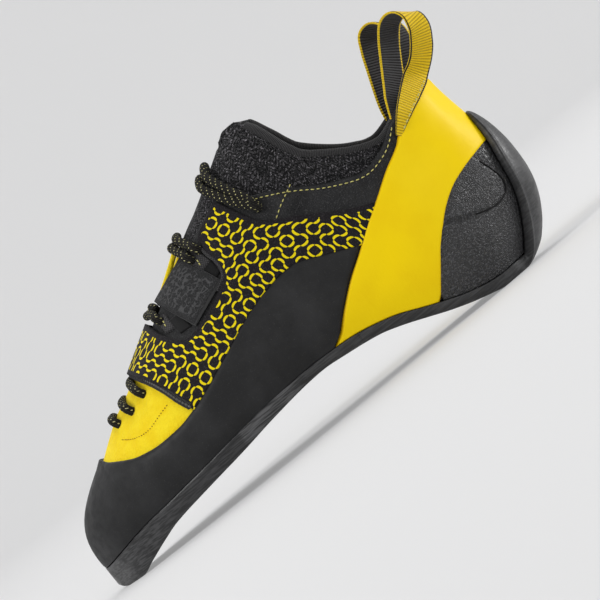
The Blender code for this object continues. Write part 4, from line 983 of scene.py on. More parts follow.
class Graph:
    """A material's node tree, written as calls that return sockets."""

    def __init__(self, name: str, roughness: float, sheen: float = 0.0, gloss: float = 0.22) -> None:
        """Start a Principled material.

        Args:
            name: name of the material.
            roughness: roughness where nothing drives it.
            sheen: weight of the cloth's sheen.
            gloss: level of the mirror-like share.
        """
        self.material = bpy.data.materials.new(name)
        self.material.use_nodes = True
        self.tree = self.material.node_tree
        self.shader = self.tree.nodes["Principled BSDF"]
        for socket, value in (
            ("Roughness", roughness), ("Metallic", 0.0), ("Specular IOR Level", gloss),
            ("Sheen Weight", sheen), ("Sheen Roughness", 0.45), ("Coat Weight", 0.0), ("Coat Roughness", 0.25),
        ):
            self.shader.inputs[socket].default_value = value
        coordinates = self.tree.nodes.new("ShaderNodeTexCoord")
        self.place = coordinates.outputs["Object"]
        self.chart = coordinates.outputs["UV"]

    def put(self, target: Socket, value: object) -> None:
        """Link a socket, or set a plain value."""
        if isinstance(value, Socket):
            self.tree.links.new(value, target)
        elif isinstance(value, tuple) and len(value) == 3 and target.type == "RGBA":
            target.default_value = (*value, 1.0)
        else:
            target.default_value = value

    def math(self, kind: str, first: object, second: object = None, third: object = None) -> Socket:
        """Return the result of a Math node."""
        node = self.tree.nodes.new("ShaderNodeMath")
        node.operation = kind
        for k, value in enumerate((first, second, third)):
            if value is not None:
                self.put(node.inputs[k], value)
        return node.outputs[0]

    def times(self, first: object, second: object) -> Socket:
        """Return the product of two numbers."""
        return self.math("MULTIPLY", first, second)

    def wave(self, turns: Socket, full: float) -> Socket:
        """Return the sine of a number times a full angle."""
        return self.math("SINE", self.times(turns, full))

    def gap(self, value: Socket) -> Socket:
        """Return how far a number's fraction lies from one half."""
        return self.math("ABSOLUTE", self.math("SUBTRACT", self.math("FRACT", value), 0.5))

    def chart_in(self, pitch: float, turn: float = 0.0) -> tuple[Socket, Socket]:
        """Return the chart's two coordinates in steps of a pitch, turned by an angle."""
        return self.parts(self.mapped(self.chart, (1 / pitch, 1 / pitch, 1.0), turn))[:2]

    def mapped(self, vector: Socket, scale: Colour, turn: float = 0.0) -> Socket:
        """Return a vector scaled, then turned about Z by an angle."""
        node = self.tree.nodes.new("ShaderNodeMapping")
        self.put(node.inputs["Vector"], vector)
        node.inputs["Scale"].default_value = scale
        node.inputs["Rotation"].default_value = (0.0, 0.0, turn)
        return node.outputs[0]

    def parts(self, vector: Socket) -> tuple[Socket, Socket, Socket]:
        """Return the three parts of a vector."""
        node = self.tree.nodes.new("ShaderNodeSeparateXYZ")
        self.put(node.inputs[0], vector)
        return node.outputs[0], node.outputs[1], node.outputs[2]

    def noise(self, scale: float, detail: float = 3.0, vector: Optional[Socket] = None) -> Socket:
        """Return noise from 0 to 1 with a scale in bumps per metre."""
        node = self.tree.nodes.new("ShaderNodeTexNoise")
        self.put(node.inputs["Vector"], vector or self.place)
        node.inputs["Scale"].default_value = scale
        node.inputs["Detail"].default_value = detail
        return node.outputs["Fac"]

    def cells(self, scale: float, feature: str = "F1", vector: Optional[Socket] = None) -> Socket:
        """Return the distance field of Voronoi cells with a scale in cells per metre."""
        node = self.tree.nodes.new("ShaderNodeTexVoronoi")
        node.feature = feature
        self.put(node.inputs["Vector"], vector or self.place)
        node.inputs["Scale"].default_value = scale
        return node.outputs["Distance"]

    def ramp(self, value: Socket, low: float, high: float, start: float = 0.0, end: float = 1.0) -> Socket:
        """Return a smooth step of a value, from start at low to end at high."""
        node = self.tree.nodes.new("ShaderNodeMapRange")
        node.interpolation_type = "SMOOTHSTEP"
        self.put(node.inputs["Value"], value)
        for name, number in (("From Min", low), ("From Max", high), ("To Min", start), ("To Max", end)):
            node.inputs[name].default_value = number
        return node.outputs["Result"]

    def mix(self, factor: object, first: object, second: object) -> Socket:
        """Return a blend of two colours."""
        node = self.tree.nodes.new("ShaderNodeMix")
        node.data_type = "RGBA"
        self.put(node.inputs["Factor"], factor)
        self.put(node.inputs[6], first)
        self.put(node.inputs[7], second)
        return node.outputs[2]

    def border(self) -> Socket:
        """Return the way from the piece's border, in metres."""
        node = self.tree.nodes.new("ShaderNodeAttribute")
        node.attribute_name = "edge"
        return node.outputs["Fac"]

    def bump(self, height: Socket, depth: float, after: Optional[Socket] = None) -> Socket:
        """Return a normal raised by a height from 0 to 1, as deep as the depth in metres."""
        node = self.tree.nodes.new("ShaderNodeBump")
        node.inputs["Strength"].default_value = 1.0
        node.inputs["Distance"].default_value = depth
        self.put(node.inputs["Height"], height)
        if after is not None:
            self.put(node.inputs["Normal"], after)
        return node.outputs[0]

    def random(self, first: Socket, second: Socket) -> Socket:
        """Return a number from 0 to 1 that is the same wherever the two given numbers are."""
        joined = self.tree.nodes.new("ShaderNodeCombineXYZ")
        self.put(joined.inputs[0], first)
        self.put(joined.inputs[1], second)
        node = self.tree.nodes.new("ShaderNodeTexWhiteNoise")
        self.put(node.inputs["Vector"], joined.outputs[0])
        return node.outputs["Value"]

    def weave(self, pitch: float) -> Socket:
        """Return the height of a plain weave on the chart, whose threads lie a pitch apart."""
        x, y = self.chart_in(pitch)
        return self.ramp(self.times(self.wave(x, math.pi), self.wave(y, math.pi)), -1.0, 1.0)

    def finish(self, colour: object, normal: Optional[Socket] = None, rough: object = None) -> Material:
        """Join colour, normal and roughness to the shader and return the material."""
        self.put(self.shader.inputs["Base Color"], colour)
        if normal is not None:
            self.put(self.shader.inputs["Normal"], normal)
        if rough is not None:
            self.put(self.shader.inputs["Roughness"], rough)
        self.material.diffuse_color = (0.2, 0.2, 0.2, 1.0)
        return self.material


@dataclass(frozen=True)
class Suede:
    """Napped leather: brushed patches, a fine fuzz and a soft sheen."""

    colour: Colour = (0.950, 0.740, 0.022)
    shaded: Colour = (0.880, 0.600, 0.006)

    def build(self) -> Material:
        """Return the material; the toe is yellow and what lies behind the lacing black."""
        g = Graph("toe_suede", 0.95, sheen=0.06, gloss=0.1)
        patches = g.ramp(g.noise(140.0, 4.0), 0.35, 0.68)
        nap = g.noise(1500.0, 2.0)
        tone = g.mix(g.times(patches, 0.55), self.colour, self.shaded)
        tone = g.mix(g.ramp(nap, 0.35, 0.75, 0.0, 0.22), tone, self.shaded)
        deep = g.bump(g.noise(520.0, 3.0), 0.00060)
        return g.finish(tone, g.bump(nap, 0.00030, deep))


@dataclass(frozen=True)
class Leather:
    """Smooth dyed leather: small pebbles, pores and a dull gloss."""

    colour: Colour = (0.0110, 0.0110, 0.0118)
    worn: Colour = (0.0260, 0.0260, 0.0270)

    def build(self) -> Material:
        """Return the material."""
        g = Graph("quarter_leather", 0.62)
        pebbles = g.cells(1300.0, "F1")
        patches = g.noise(90.0, 4.0)
        tone = g.mix(g.ramp(patches, 0.35, 0.75), self.colour, self.worn)
        tone = g.mix(g.ramp(g.noise(1700.0, 2.0), 0.54, 0.74, 0.0, 0.55), tone, (0.085, 0.085, 0.085))
        normal = g.bump(g.ramp(pebbles, 0.0, 0.75, 1.0, 0.0), 0.00018, g.bump(g.noise(420.0, 3.0), 0.00030))
        return g.finish(tone, normal, g.ramp(patches, 0.3, 0.7, 0.55, 0.72))


@dataclass(frozen=True)
class Lining:
    """The upper's inside: a pale brown split leather."""

    colour: Colour = (0.16, 0.13, 0.10)

    def build(self) -> Material:
        """Return the material."""
        g = Graph("upper_lining", 0.95, sheen=0.2)
        nap = g.noise(900.0, 3.0)
        return g.finish(g.mix(nap, self.colour, (0.10, 0.08, 0.06)), g.bump(nap, 0.00012))


@dataclass(frozen=True)
class KnitCloth:
    """Charcoal knit with pale flecks; its stitches run in columns up the chart."""

    colour: Colour = (0.0085, 0.0085, 0.0095)
    fleck: Colour = (0.360, 0.340, 0.365)
    wale: float = 0.0011
    cable: float = 0.0048

    def build(self) -> Material:
        """Return the material: V-shaped loops from two slanted waves, and pale fibres on top that show most on the
        loops' and cables' ridges as painted highlight.
        """
        g = Graph("charcoal_knit", 0.95, sheen=0.12)
        x, y = g.chart_in(self.wale)
        lean = g.gap(x)
        loops = g.wave(g.math("ADD", y, g.times(lean, 1.4)), 2 * math.pi)
        valley = g.ramp(lean, 0.30, 0.5, 1.0, 0.0)
        weave = g.times(g.ramp(loops, -1.0, 1.0), valley)
        fibres = g.noise(950.0, 3.0)
        clumps = g.noise(420.0, 2.0)
        across, up = g.chart_in(self.cable)
        plait = g.ramp(g.wave(g.math("ADD", up, g.times(g.gap(across), 1.8)), 4 * math.pi), -1.0, 1.0)
        # The pale fibres are the yarn's own colour; weighting them to the raised loops and cables, and dimming them in
        # the hollows, is painted highlight and painted shade.
        pale_flecks_and_ridge_highlight = g.times(g.ramp(fibres, 0.44, 0.62), g.ramp(weave, 0.05, 0.8, 0.25, 1.0))
        pale_flecks_and_ridge_highlight = g.times(pale_flecks_and_ridge_highlight, g.ramp(clumps, 0.30, 0.62, 0.35, 1.0))
        pale_flecks_and_ridge_highlight = g.times(pale_flecks_and_ridge_highlight, g.ramp(plait, 0.1, 0.7, 0.15, 1.0))
        tone = g.mix(pale_flecks_and_ridge_highlight, self.colour, self.fleck)
        normal = g.bump(weave, 0.00050, g.bump(plait, 0.0016, g.bump(clumps, 0.0004)))
        return g.finish(tone, normal)


class RubberKind(Enum):
    """The rubbers of the shoe."""

    RAND = "rand_rubber"
    HEEL_CUP = "heel_cup_rubber"
    SOLE = "sole_rubber"


@dataclass(frozen=True)
class Rubber:
    """Black climbing rubber, smooth, grained or sanded."""

    kind: RubberKind
    colour: Colour = (0.0120, 0.0120, 0.0126)
    dusty: Colour = (0.0250, 0.0250, 0.0262)
    sanded: Colour = (0.095, 0.095, 0.098)
    toe_wear: float = 0.55
    sole_wear: float = 0.35
    arch_wear: float = 0.75

    def build(self) -> Material:
        """Return the material of this kind."""
        rough, gloss = {
            RubberKind.RAND: (0.55, 0.25), RubberKind.HEEL_CUP: (0.36, 0.50), RubberKind.SOLE: (0.40, 0.40)
        }[self.kind]
        g = Graph(self.kind.value, rough, gloss=gloss)
        cloud = g.ramp(g.noise(55.0, 4.0), 0.38, 0.72)
        tone = g.mix(g.times(cloud, 0.7), self.colour, self.dusty)
        specks = g.ramp(g.noise(3000.0, 1.0), 0.66, 0.8, 0.0, 0.45)
        tone = g.mix(specks, tone, (0.10, 0.10, 0.10))
        normal = g.bump(g.noise(700.0, 3.0), 0.00005)
        if self.kind is RubberKind.HEEL_CUP:
            grain = g.ramp(g.cells(1500.0, "F1"), 0.0, 0.7, 1.0, 0.0)
            normal = g.bump(grain, 0.00030, g.bump(g.noise(1100.0, 2.0), 0.00025))
            tone = g.mix(g.ramp(g.noise(1300.0, 2.0), 0.48, 0.68, 0.0, 0.8), tone, (0.085, 0.085, 0.090))
        if self.kind is RubberKind.SOLE:
            streaks = g.noise(1.0, 3.0, g.mapped(g.place, (90.0, 300.0, 1500.0)))
            x = g.parts(g.place)[0]
            arch = g.times(g.ramp(x, -0.1335, -0.1310), g.ramp(x, -0.112, -0.090, 1.0, 0.0))
            toe = g.ramp(x, -0.212, -0.150, self.toe_wear, self.sole_wear)
            amount = g.math("ADD", g.times(arch, self.arch_wear), toe)
            worn = g.times(g.ramp(streaks, 0.38, 0.66), amount)
            tone = g.mix(worn, tone, self.sanded)
            normal = g.bump(streaks, 0.00006, normal)
        return g.finish(tone, normal, g.ramp(g.noise(240.0, 3.0), 0.3, 0.7, rough - 0.06, rough + 0.08))


@dataclass(frozen=True)
class BandRubber:
    """Yellow tensioned rubber: satin, with faint smudges and painted shade along its borders."""

    colour: Colour = (0.930, 0.665, 0.0001)
    smudged: Colour = (0.860, 0.570, 0.0001)
    # Darker orange of the band's rim: painted shade at its edges.
    border: Colour = (0.560, 0.300, 0.0001)

    def build(self) -> Material:
        """Return the material."""
        g = Graph("band_rubber", 0.46, gloss=0.12)
        cloud = g.ramp(g.noise(60.0, 3.0), 0.4, 0.75)
        tone = g.mix(g.times(cloud, 0.45), self.colour, self.smudged)
        # Painted shade: darker towards the band's border, within 1.1 mm of it.
        tone = g.mix(g.ramp(g.border(), 0.0, 0.0011, 0.75, 0.0), tone, self.border)
        normal = g.bump(g.noise(900.0, 2.0), 0.00004, g.bump(g.noise(120.0, 2.0), 0.00015))
        return g.finish(tone, normal, g.ramp(cloud, 0.0, 1.0, 0.42, 0.54))


@dataclass(frozen=True)
class PrintedCloth:
    """Black cloth with a yellow print of short arcs in square cells.

    The chart is turned and cut into square cells. Each cell holds two quarter rings, around two of its
    opposite corners; a random number for the cell says which two. A ring's width tapers towards the
    cell's border as one minus the fifth power of the way out.
    """

    ground: Colour = (0.0085, 0.0070, 0.0085)
    line: Colour = (0.880, 0.700, 0.0005)
    cell: float = 0.0050
    turn: float = math.radians(28.0)
    half_width: float = 0.105
    hem: float = 0.0024

    def build(self) -> Material:
        """Return the material."""
        g = Graph("printed_cloth", 0.82, sheen=0.03)
        x, y = g.chart_in(self.cell, self.turn)
        odd = g.math("GREATER_THAN", g.random(g.math("FLOOR", x), g.math("FLOOR", y)), 0.5)
        sign = g.math("SUBTRACT", 1.0, g.times(odd, 2.0))
        local_x = g.times(g.math("SUBTRACT", g.math("FRACT", x), 0.5), sign)
        local_y = g.math("SUBTRACT", g.math("FRACT", y), 0.5)
        rings = []
        for corner in (-0.5, 0.5):
            wide = g.math("POWER", g.math("SUBTRACT", local_x, corner), 2.0)
            tall = g.math("POWER", g.math("SUBTRACT", local_y, corner), 2.0)
            radius = g.math("SQRT", g.math("ADD", wide, tall))
            rings.append(g.math("ABSOLUTE", g.math("SUBTRACT", radius, 0.5)))
        away = g.math("MINIMUM", *rings)
        outer = g.math("MAXIMUM", g.math("ABSOLUTE", local_x), g.math("ABSOLUTE", local_y))
        taper = g.math("SUBTRACT", 1.0, g.math("POWER", g.times(outer, 2.0), 5.0))
        ink = g.ramp(g.math("SUBTRACT", away, g.times(taper, self.half_width)), -0.012, 0.012, 1.0, 0.0)
        inside = g.ramp(g.border(), self.hem - 0.0001, self.hem + 0.0001)
        threads = g.weave(0.00042)
        ink = g.times(g.times(ink, inside), g.ramp(g.noise(1300.0, 2.0), 0.2, 0.4, 0.75, 1.0))
        ground = g.mix(g.ramp(g.noise(1900.0, 2.0), 0.5, 0.8), self.ground, (0.045, 0.042, 0.045))
        tone = g.mix(ink, ground, self.line)
        normal = g.bump(threads, 0.00009, g.bump(ink, 0.00006))
        return g.finish(tone, normal)


@dataclass(frozen=True)
class TabCloth:
    """Black synthetic of the lace tabs, with a generic pressed pattern of veins, painted lighter on their raised lines
    as painted highlight, and pale cut edges.
    """

    colour: Colour = (0.0125, 0.0125, 0.0132)
    # Colour of the pressed veins' raised lines: painted highlight.
    raised: Colour = (0.070, 0.070, 0.072)

    def build(self) -> Material:
        """Return the material."""
        g = Graph("tab_cloth", 0.70)
        veins = g.ramp(g.cells(420.0, "DISTANCE_TO_EDGE"), 0.05, 0.20, 1.0, 0.0)
        veins = g.times(veins, g.ramp(g.noise(520.0, 2.0), 0.42, 0.52))
        inside = g.ramp(g.border(), 0.0015, 0.0030)
        pressed = g.times(veins, inside)
        # Painted highlight: the raised veins are painted lighter grey.
        tone = g.mix(g.times(pressed, 0.8), self.colour, self.raised)
        tone = g.mix(g.ramp(g.border(), 0.0, 0.0006, 0.7, 0.0), tone, (0.11, 0.11, 0.11))
        tone = g.mix(g.ramp(g.noise(1900.0, 2.0), 0.5, 0.72, 0.0, 0.6), tone, (0.075, 0.075, 0.077))
        normal = g.bump(pressed, 0.00030, g.bump(g.noise(1200.0, 2.0), 0.00012))
        return g.finish(tone, normal)


@dataclass(frozen=True)
class Cord:
    """Round braided lace: black with pale yellow flecks."""

    colour: Colour = (0.0100, 0.0095, 0.0085)
    fleck: Colour = (0.60, 0.56, 0.27)
    strand: float = 0.00115

    def build(self) -> Material:
        """Return the material: two families of slanted strands, of which single crossings are pale."""
        g = Graph("lace_braid", 0.86, sheen=0.02, gloss=0.15)
        x, y = g.chart_in(self.strand)
        rise = g.math("ADD", x, y)
        fall = g.math("SUBTRACT", x, y)
        ridges = g.times(*(g.math("ABSOLUTE", g.wave(way, math.pi)) for way in (rise, fall)))
        third = g.math("LESS_THAN", g.math("FLOORED_MODULO", g.math("FLOOR", rise), 3.0), 0.5)
        every = g.math("LESS_THAN", g.math("FLOORED_MODULO", g.math("FLOOR", fall), 2.0), 0.5)
        pale = g.times(g.times(third, every), g.ramp(ridges, 0.35, 0.6))
        pale = g.times(pale, g.ramp(g.noise(900.0, 1.0), 0.3, 0.5, 0.3, 1.0))
        sheen = g.mix(g.ramp(ridges, 0.2, 0.9), self.colour, (0.028, 0.026, 0.023))
        return g.finish(g.mix(pale, sheen, self.fleck), g.bump(ridges, 0.00035))


class TapeFace(Enum):
    """The two faces of the pull loops' tape."""

    OUTER = "tape_outer_face"
    INNER = "tape_inner_face"


@dataclass(frozen=True)
class RibbedTape:
    """Ribbed tape: yellow outside with a thin dark edge, black inside with a thin yellow edge."""

    face: TapeFace
    yellow: Colour = (0.800, 0.545, 0.008)
    black: Colour = (0.0120, 0.0110, 0.0115)
    rib: float = 0.00118
    edge: float = 0.0007

    def build(self) -> Material:
        """Return the material of this face; the chart holds way along and way across. The grooves between the ribs
        carry painted shade, and the inner face's ribs are painted dark grey as painted highlight on the black tape.
        """
        g = Graph(self.face.value, 0.72, sheen=0.1)
        body, trim = (self.yellow, self.black) if self.face is TapeFace.OUTER else (self.black, self.yellow)
        x, y, _ = g.parts(g.chart)
        ribs = g.math("ABSOLUTE", g.wave(x, math.pi / self.rib))
        fibres = g.noise(1700.0, 2.0)
        # Half as bright, laid into the grooves between the ribs: painted shade.
        dark = tuple(0.5 * c for c in body)
        # The inner face's ribs are dark grey instead of black: painted highlight.
        body = body if self.face is TapeFace.OUTER else (0.052, 0.050, 0.052)
        tone = g.mix(g.ramp(ribs, 0.0, 0.65, 0.85, 0.0), body, dark)
        tone = g.mix(g.ramp(fibres, 0.5, 0.8, 0.0, 0.35), tone, tuple(min(1.0, 1.25 * c + 0.03) for c in body))
        beside = g.math("SUBTRACT", TAPE_WIDTH / 2, g.math("ABSOLUTE", y))
        tone = g.mix(g.ramp(beside, self.edge - 0.0001, self.edge + 0.0001, 1.0, 0.0), tone, trim)
        return g.finish(tone, g.bump(ribs, 0.00045))


@dataclass(frozen=True)
class Thread:
    """Twisted sewing thread."""

    name: str
    colour: Colour

    def build(self) -> Material:
        """Return the material."""
        g = Graph(self.name, 0.7, sheen=0.1)
        twist = g.noise(3200.0, 1.0)
        dark = tuple(0.6 * c for c in self.colour)
        return g.finish(g.mix(g.ramp(twist, 0.3, 0.7), self.colour, dark), g.bump(twist, 0.00008))


@dataclass(frozen=True)
class Webbing:
    """Narrow black webbing of the lace keepers."""

    colour: Colour = (0.022, 0.021, 0.022)

    def build(self) -> Material:
        """Return the material."""
        g = Graph("keeper_webbing", 0.8, sheen=0.1)
        threads = g.weave(0.0006)
        # Lighter grey on the weave's raised threads: painted highlight, with painted shade in the gaps.
        tone = g.mix(g.ramp(threads, 0.4, 0.9), self.colour, (0.060, 0.058, 0.060))
        return g.finish(tone, g.bump(threads, 0.00018))


@dataclass(frozen=True)
class Binding:
    """Ribbed elastic tape around the collar's rim."""

    colour: Colour = (0.016, 0.0155, 0.016)
    # Colour of the ribs' tops: painted highlight.
    raised: Colour = (0.045, 0.044, 0.045)
    rib: float = 0.0007

    def build(self) -> Material:
        """Return the material: ribs across the way along, lighter on their tops as painted highlight."""
        g = Graph("collar_binding", 0.85, sheen=0.1)
        ribs = g.ramp(g.wave(g.chart_in(self.rib)[0], 2 * math.pi), -1.0, 1.0)
        return g.finish(g.mix(ribs, self.colour, self.raised), g.bump(ribs, 0.0004))


@dataclass(frozen=True)
class Board:
    """The insole's thin fibre board under a felt cover."""

    colour: Colour = (0.10, 0.095, 0.085)

    def build(self) -> Material:
        """Return the material."""
        g = Graph("insole_felt", 0.96, sheen=0.2)
        felt = g.noise(1400.0, 4.0)
        return g.finish(g.mix(felt, self.colour, (0.19, 0.18, 0.16)), g.bump(felt, 0.00015))


@dataclass(frozen=True)
class StudioPaper:
    """Plain pale floor and backdrop that glow a little of their own, painted light that keeps the shadows on them soft.
    """

    colour: Colour = (0.47, 0.47, 0.474)
    glow: float = 0.262

    def build(self) -> Material:
        """Return the material."""
        g = Graph("studio_paper", 0.95)
        # The paper glows though it is no lamp: painted light that lifts the shadows on it.
        g.shader.inputs["Emission Color"].default_value = (1.0, 1.0, 1.0, 1.0)
        g.shader.inputs["Emission Strength"].default_value = self.glow
        return g.finish(g.mix(g.noise(2.0, 2.0), self.colour, tuple(1.015 * c for c in self.colour)))


def made(finish: object) -> Material:
    """Return a field whose first value is the material that a finish builds."""
    return field(default_factory=finish.build)


@dataclass
class Finishes:
    """Every finish of the shoe, built once."""

    suede: Material = made(Suede())
    leather: Material = made(Leather())
    lining: Material = made(Lining())
    knit: Material = made(KnitCloth())
    rand: Material = made(Rubber(RubberKind.RAND))
    cup: Material = made(Rubber(RubberKind.HEEL_CUP))
    sole: Material = made(Rubber(RubberKind.SOLE))
    band: Material = made(BandRubber())
    printed: Material = made(PrintedCloth())
    tab: Material = made(TabCloth())
    lace: Material = made(Cord())
    tape_outer: Material = made(RibbedTape(TapeFace.OUTER))
    tape_inner: Material = made(RibbedTape(TapeFace.INNER))
    pale_thread: Material = made(Thread("pale_thread", (0.72, 0.66, 0.22)))
    black_thread: Material = made(Thread("black_thread", (0.035, 0.035, 0.036)))
    # Near-black that stands for shade: the knit collar's inside, the harness's window holes and the heel cup's groove;
    # painted shade.
    window: Material = made(Thread("painted_shade_black", (0.0025, 0.0025, 0.0028)))
    amber_thread: Material = made(Thread("amber_thread", (0.42, 0.23, 0.008)))
    rib: Material = made(Binding())
    grey_thread: Material = made(Thread("grey_thread", (0.13, 0.13, 0.125)))
    webbing: Material = made(Webbing())
    board: Material = made(Board())


def fine_stations(toe: int, middle: int, heel: int) -> Array:
    """Return station numbers of a full side with so many steps in the toe fan, middle and heel fan."""
    return np.concatenate(
        [np.linspace(0, 1, toe + 1)[:-1], np.linspace(1, 2, middle + 1)[:-1], np.linspace(2, 3, heel + 1)]
    )


def soft_step(x: Array, low: float, high: float) -> Array:
    """Return 0 below low, 1 above high and a smooth rise between."""
    u = np.clip((np.asarray(x, float) - low) / (high - low), 0, 1)
    return u * u * (3 - 2 * u)


def paint(piece: Object, number: int, here: Callable[[Array], Array], old: int = 0) -> None:
    """Give another material to the faces of one material whose middles pass a test.

    Args:
        piece: the object.
        number: the new material number.
        here: test of an array of points.
        old: the material number that is replaced.
    """
    mesh = piece.data
    middles = np.empty(3 * len(mesh.polygons), np.float32)
    mesh.polygons.foreach_get("center", middles)
    kinds = np.empty(len(mesh.polygons), np.int32)
    mesh.polygons.foreach_get("material_index", kinds)
    kinds[(kinds == old) & here(middles.reshape(-1, 3))] = number
    mesh.polygons.foreach_set("material_index", kinds)


@dataclass(frozen=True)
class Furrow:
    """A soft trough or ridge pressed in along a line of the side view, in millimetres."""

    start: tuple[float, float]
    end: tuple[float, float]
    width: float
    lift: float
    side: Side = Side.OUTER
    bow: float = 0.0


def furrows(lines: Sequence[Furrow]) -> Relief:
    """Return the relief of several furrows.

    Each is a bell over the way from its line, which bows aside in the middle, and fades at both ends.
    """

    def relief(points: Array, edge: Array) -> Array:
        """Return the extra way outwards of each point."""
        along = (points[:, 0] + HEEL_REST) / MM
        up = points[:, 2] / MM
        extra = np.zeros(len(points))
        for line in lines:
            way = np.subtract(line.end, line.start)
            length = math.hypot(*way)
            way = way / length
            t = ((along - line.start[0]) * way[0] + (up - line.start[1]) * way[1]) / length
            away = -(along - line.start[0]) * way[1] + (up - line.start[1]) * way[0]
            away = away - line.bow * 4 * np.clip(t, 0, 1) * (1 - np.clip(t, 0, 1))
            fade = soft_step(t, -0.15, 0.25) * (1 - soft_step(t, 0.75, 1.15))
            same = points[:, 1] * line.side.value > -0.004
            extra += np.where(same, line.lift * MM * np.exp(-((away / line.width) ** 2)) * fade, 0.0)
        return extra

    return relief


def both_reliefs(first: Relief, second: Relief) -> Relief:
    """Return the sum of two reliefs."""

    def relief(points: Array, edge: Array) -> Array:
        """Return the extra way outwards of each point."""
        return first(points, edge) + second(points, edge)

    return relief


def throat_height(last: Last, side: Side, q: Array) -> Array:
    """Return the v of the leather's upper edge: the ridge, then the throat, then the collar."""
    half = table_curve(THROAT_ROWS, THROAT_COLUMNS, side.name.lower(), BALL_WIDTH)
    share = last.shares(side, q)
    beside = last.beside_ridge(side, q, half(share * SHOE_LENGTH))
    around = last.height(side, q, edge_curve(COLLAR_EDGE_ROWS[side]))
    turn = soft_step(share, 0.546, 0.558)
    opened = (1 - turn) * beside + turn * around
    return np.where(share <= THROAT_ROWS[0][0] + 1e-6, 1.0, opened)


def sock_lower(last: Last, side: Side, q: Array) -> Array:
    """Return the v of the hidden lower edge of the tongue and collar."""
    half = table_curve(THROAT_ROWS, THROAT_COLUMNS, side.name.lower(), BALL_WIDTH)
    share = last.shares(side, q)
    strip = last.beside_ridge(side, q, half(share * SHOE_LENGTH) + TONGUE_OVERLAP)
    around = last.height(side, q, edge_curve(COLLAR_EDGE_ROWS[side]), -COLLAR_OVERLAP)
    turn = soft_step(share, 0.540, 0.560)
    return (1 - turn) * strip + turn * around


def run_on(last: Last, side: Side, corners: Sequence[Spot], lift: float, step: float = 0.0008) -> tuple[Array, Array]:
    """Return a smooth path on the last through places of the side view, and the normals along it.

    Args:
        last: the surface.
        side: side of the foot.
        corners: places as (way along, height) in millimetres.
        lift: how far the path lies off the last, in metres.
        step: way between the points, in metres.

    Returns:
        Points in the row's frame and unit normals.
    """
    flat = np.array(corners, float) * MM
    length = np.linalg.norm(np.diff(flat, axis=0), axis=1).sum()
    even = smooth_path(flat, max(int(length / step), 4))
    points, normals = last.on(side, even[:, 0], even[:, 1], lift)
    return points, normals


def patch(
    name: str,
    last: Last,
    side: Side,
    corners: Sequence[Spot],
    inner: float,
    outer: float,
    materials: Sequence[Material],
    steps: tuple[int, int] = (20, 20),
    bevel: float = 0.0006,
    relief: Optional[Relief] = None,
) -> Object:
    """Make a small four-cornered patch that lies on the last.

    Args:
        name: name of the object.
        last: the surface.
        side: side of the foot.
        corners: four places of the side view in millimetres, in turn around the patch.
        inner: way of the inside off the last, in metres.
        outer: way of the outside off the last, in metres.
        materials: finishes.
        steps: faces along the first and second edge.
        bevel: width of the rounded border, in metres.
        relief: extra way outwards.

    Returns:
        The new object.
    """
    a, b, c, d = (np.array(corner) * MM for corner in corners)
    s, t = np.meshgrid(np.linspace(0, 1, steps[0] + 1), np.linspace(0, 1, steps[1] + 1), indexing="ij")
    s, t = s[..., None], t[..., None]
    flat = (1 - s) * (1 - t) * a + s * (1 - t) * b + s * t * c + (1 - s) * t * d
    q, v = last.locate(side, flat[..., 0], flat[..., 1])
    points = last.points(side, q, v)
    wide, tall = np.linalg.norm(b - a), np.linalg.norm(d - a)
    chart = np.concatenate([s * wide, t * tall], axis=-1)
    return shell(name, [Stretch(points, last.ways_out(side, q, v), chart)], inner, outer, materials, bevel, relief)


@dataclass
class Piece:
    """What every sub-assembly of the shoe is built from."""

    last: Last
    finishes: Finishes

    def own(self, piece: Object, slot: str, *nodes: str) -> Object:
        """Let a piece ride on the shoe and hide the solids that it stands for."""
        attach(piece, "root")
        if nodes:
            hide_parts(*nodes)
        return piece


@dataclass
class Upper(Piece):
    """Hollow lasted upper: yellow suede over the toe, black leather behind."""

    suede_end: float = 77.0
    yellow_strip: tuple[float, float] = (93.0, 109.0)
    rows: int = 38

    def build(self) -> None:
        """Build the wall from the sole line up to the throat and the collar."""
        parts = []
        for side in SIDES:
            q = fine_stations(36, 190, 30)
            high = throat_height(self.last, side, q)
            parts.append(stretch(self.last, side, q, np.zeros(len(q)), high, self.rows, seated=True))
        creases = furrows(
            (
                Furrow((41, 51.6), (55, 47.4), 1.5, -1.1),
                Furrow((53, 47.4), (69, 51.4), 1.5, -1.1),
                Furrow((44, 53.0), (62, 56.0), 1.8, -0.5),
                Furrow((38, 52.5), (50, 57.5), 2.0, 0.4),
                Furrow((150, 78.0), (166, 86.0), 2.4, 0.5),
                Furrow((178, 66.0), (192, 70.0), 2.5, -0.5),
            )
        )
        piece = shell(
            "leather_upper",
            parts,
            -LEATHER,
            0.0,
            [self.finishes.leather, self.finishes.lining, self.finishes.suede],
            bevel=0.0008,
            relief=creases,
            closed_lip=0.0007,
        )
        shift = HEEL_REST
        toe, first, final = (s * MM - shift for s in (self.suede_end, *self.yellow_strip))
        paint(piece, 2, lambda p: p[:, 0] < toe)
        paint(piece, 2, lambda p: (p[:, 0] > first) & (p[:, 0] < final) & (p[:, 1] > 0))
        self.own(piece, "leather", "upper")


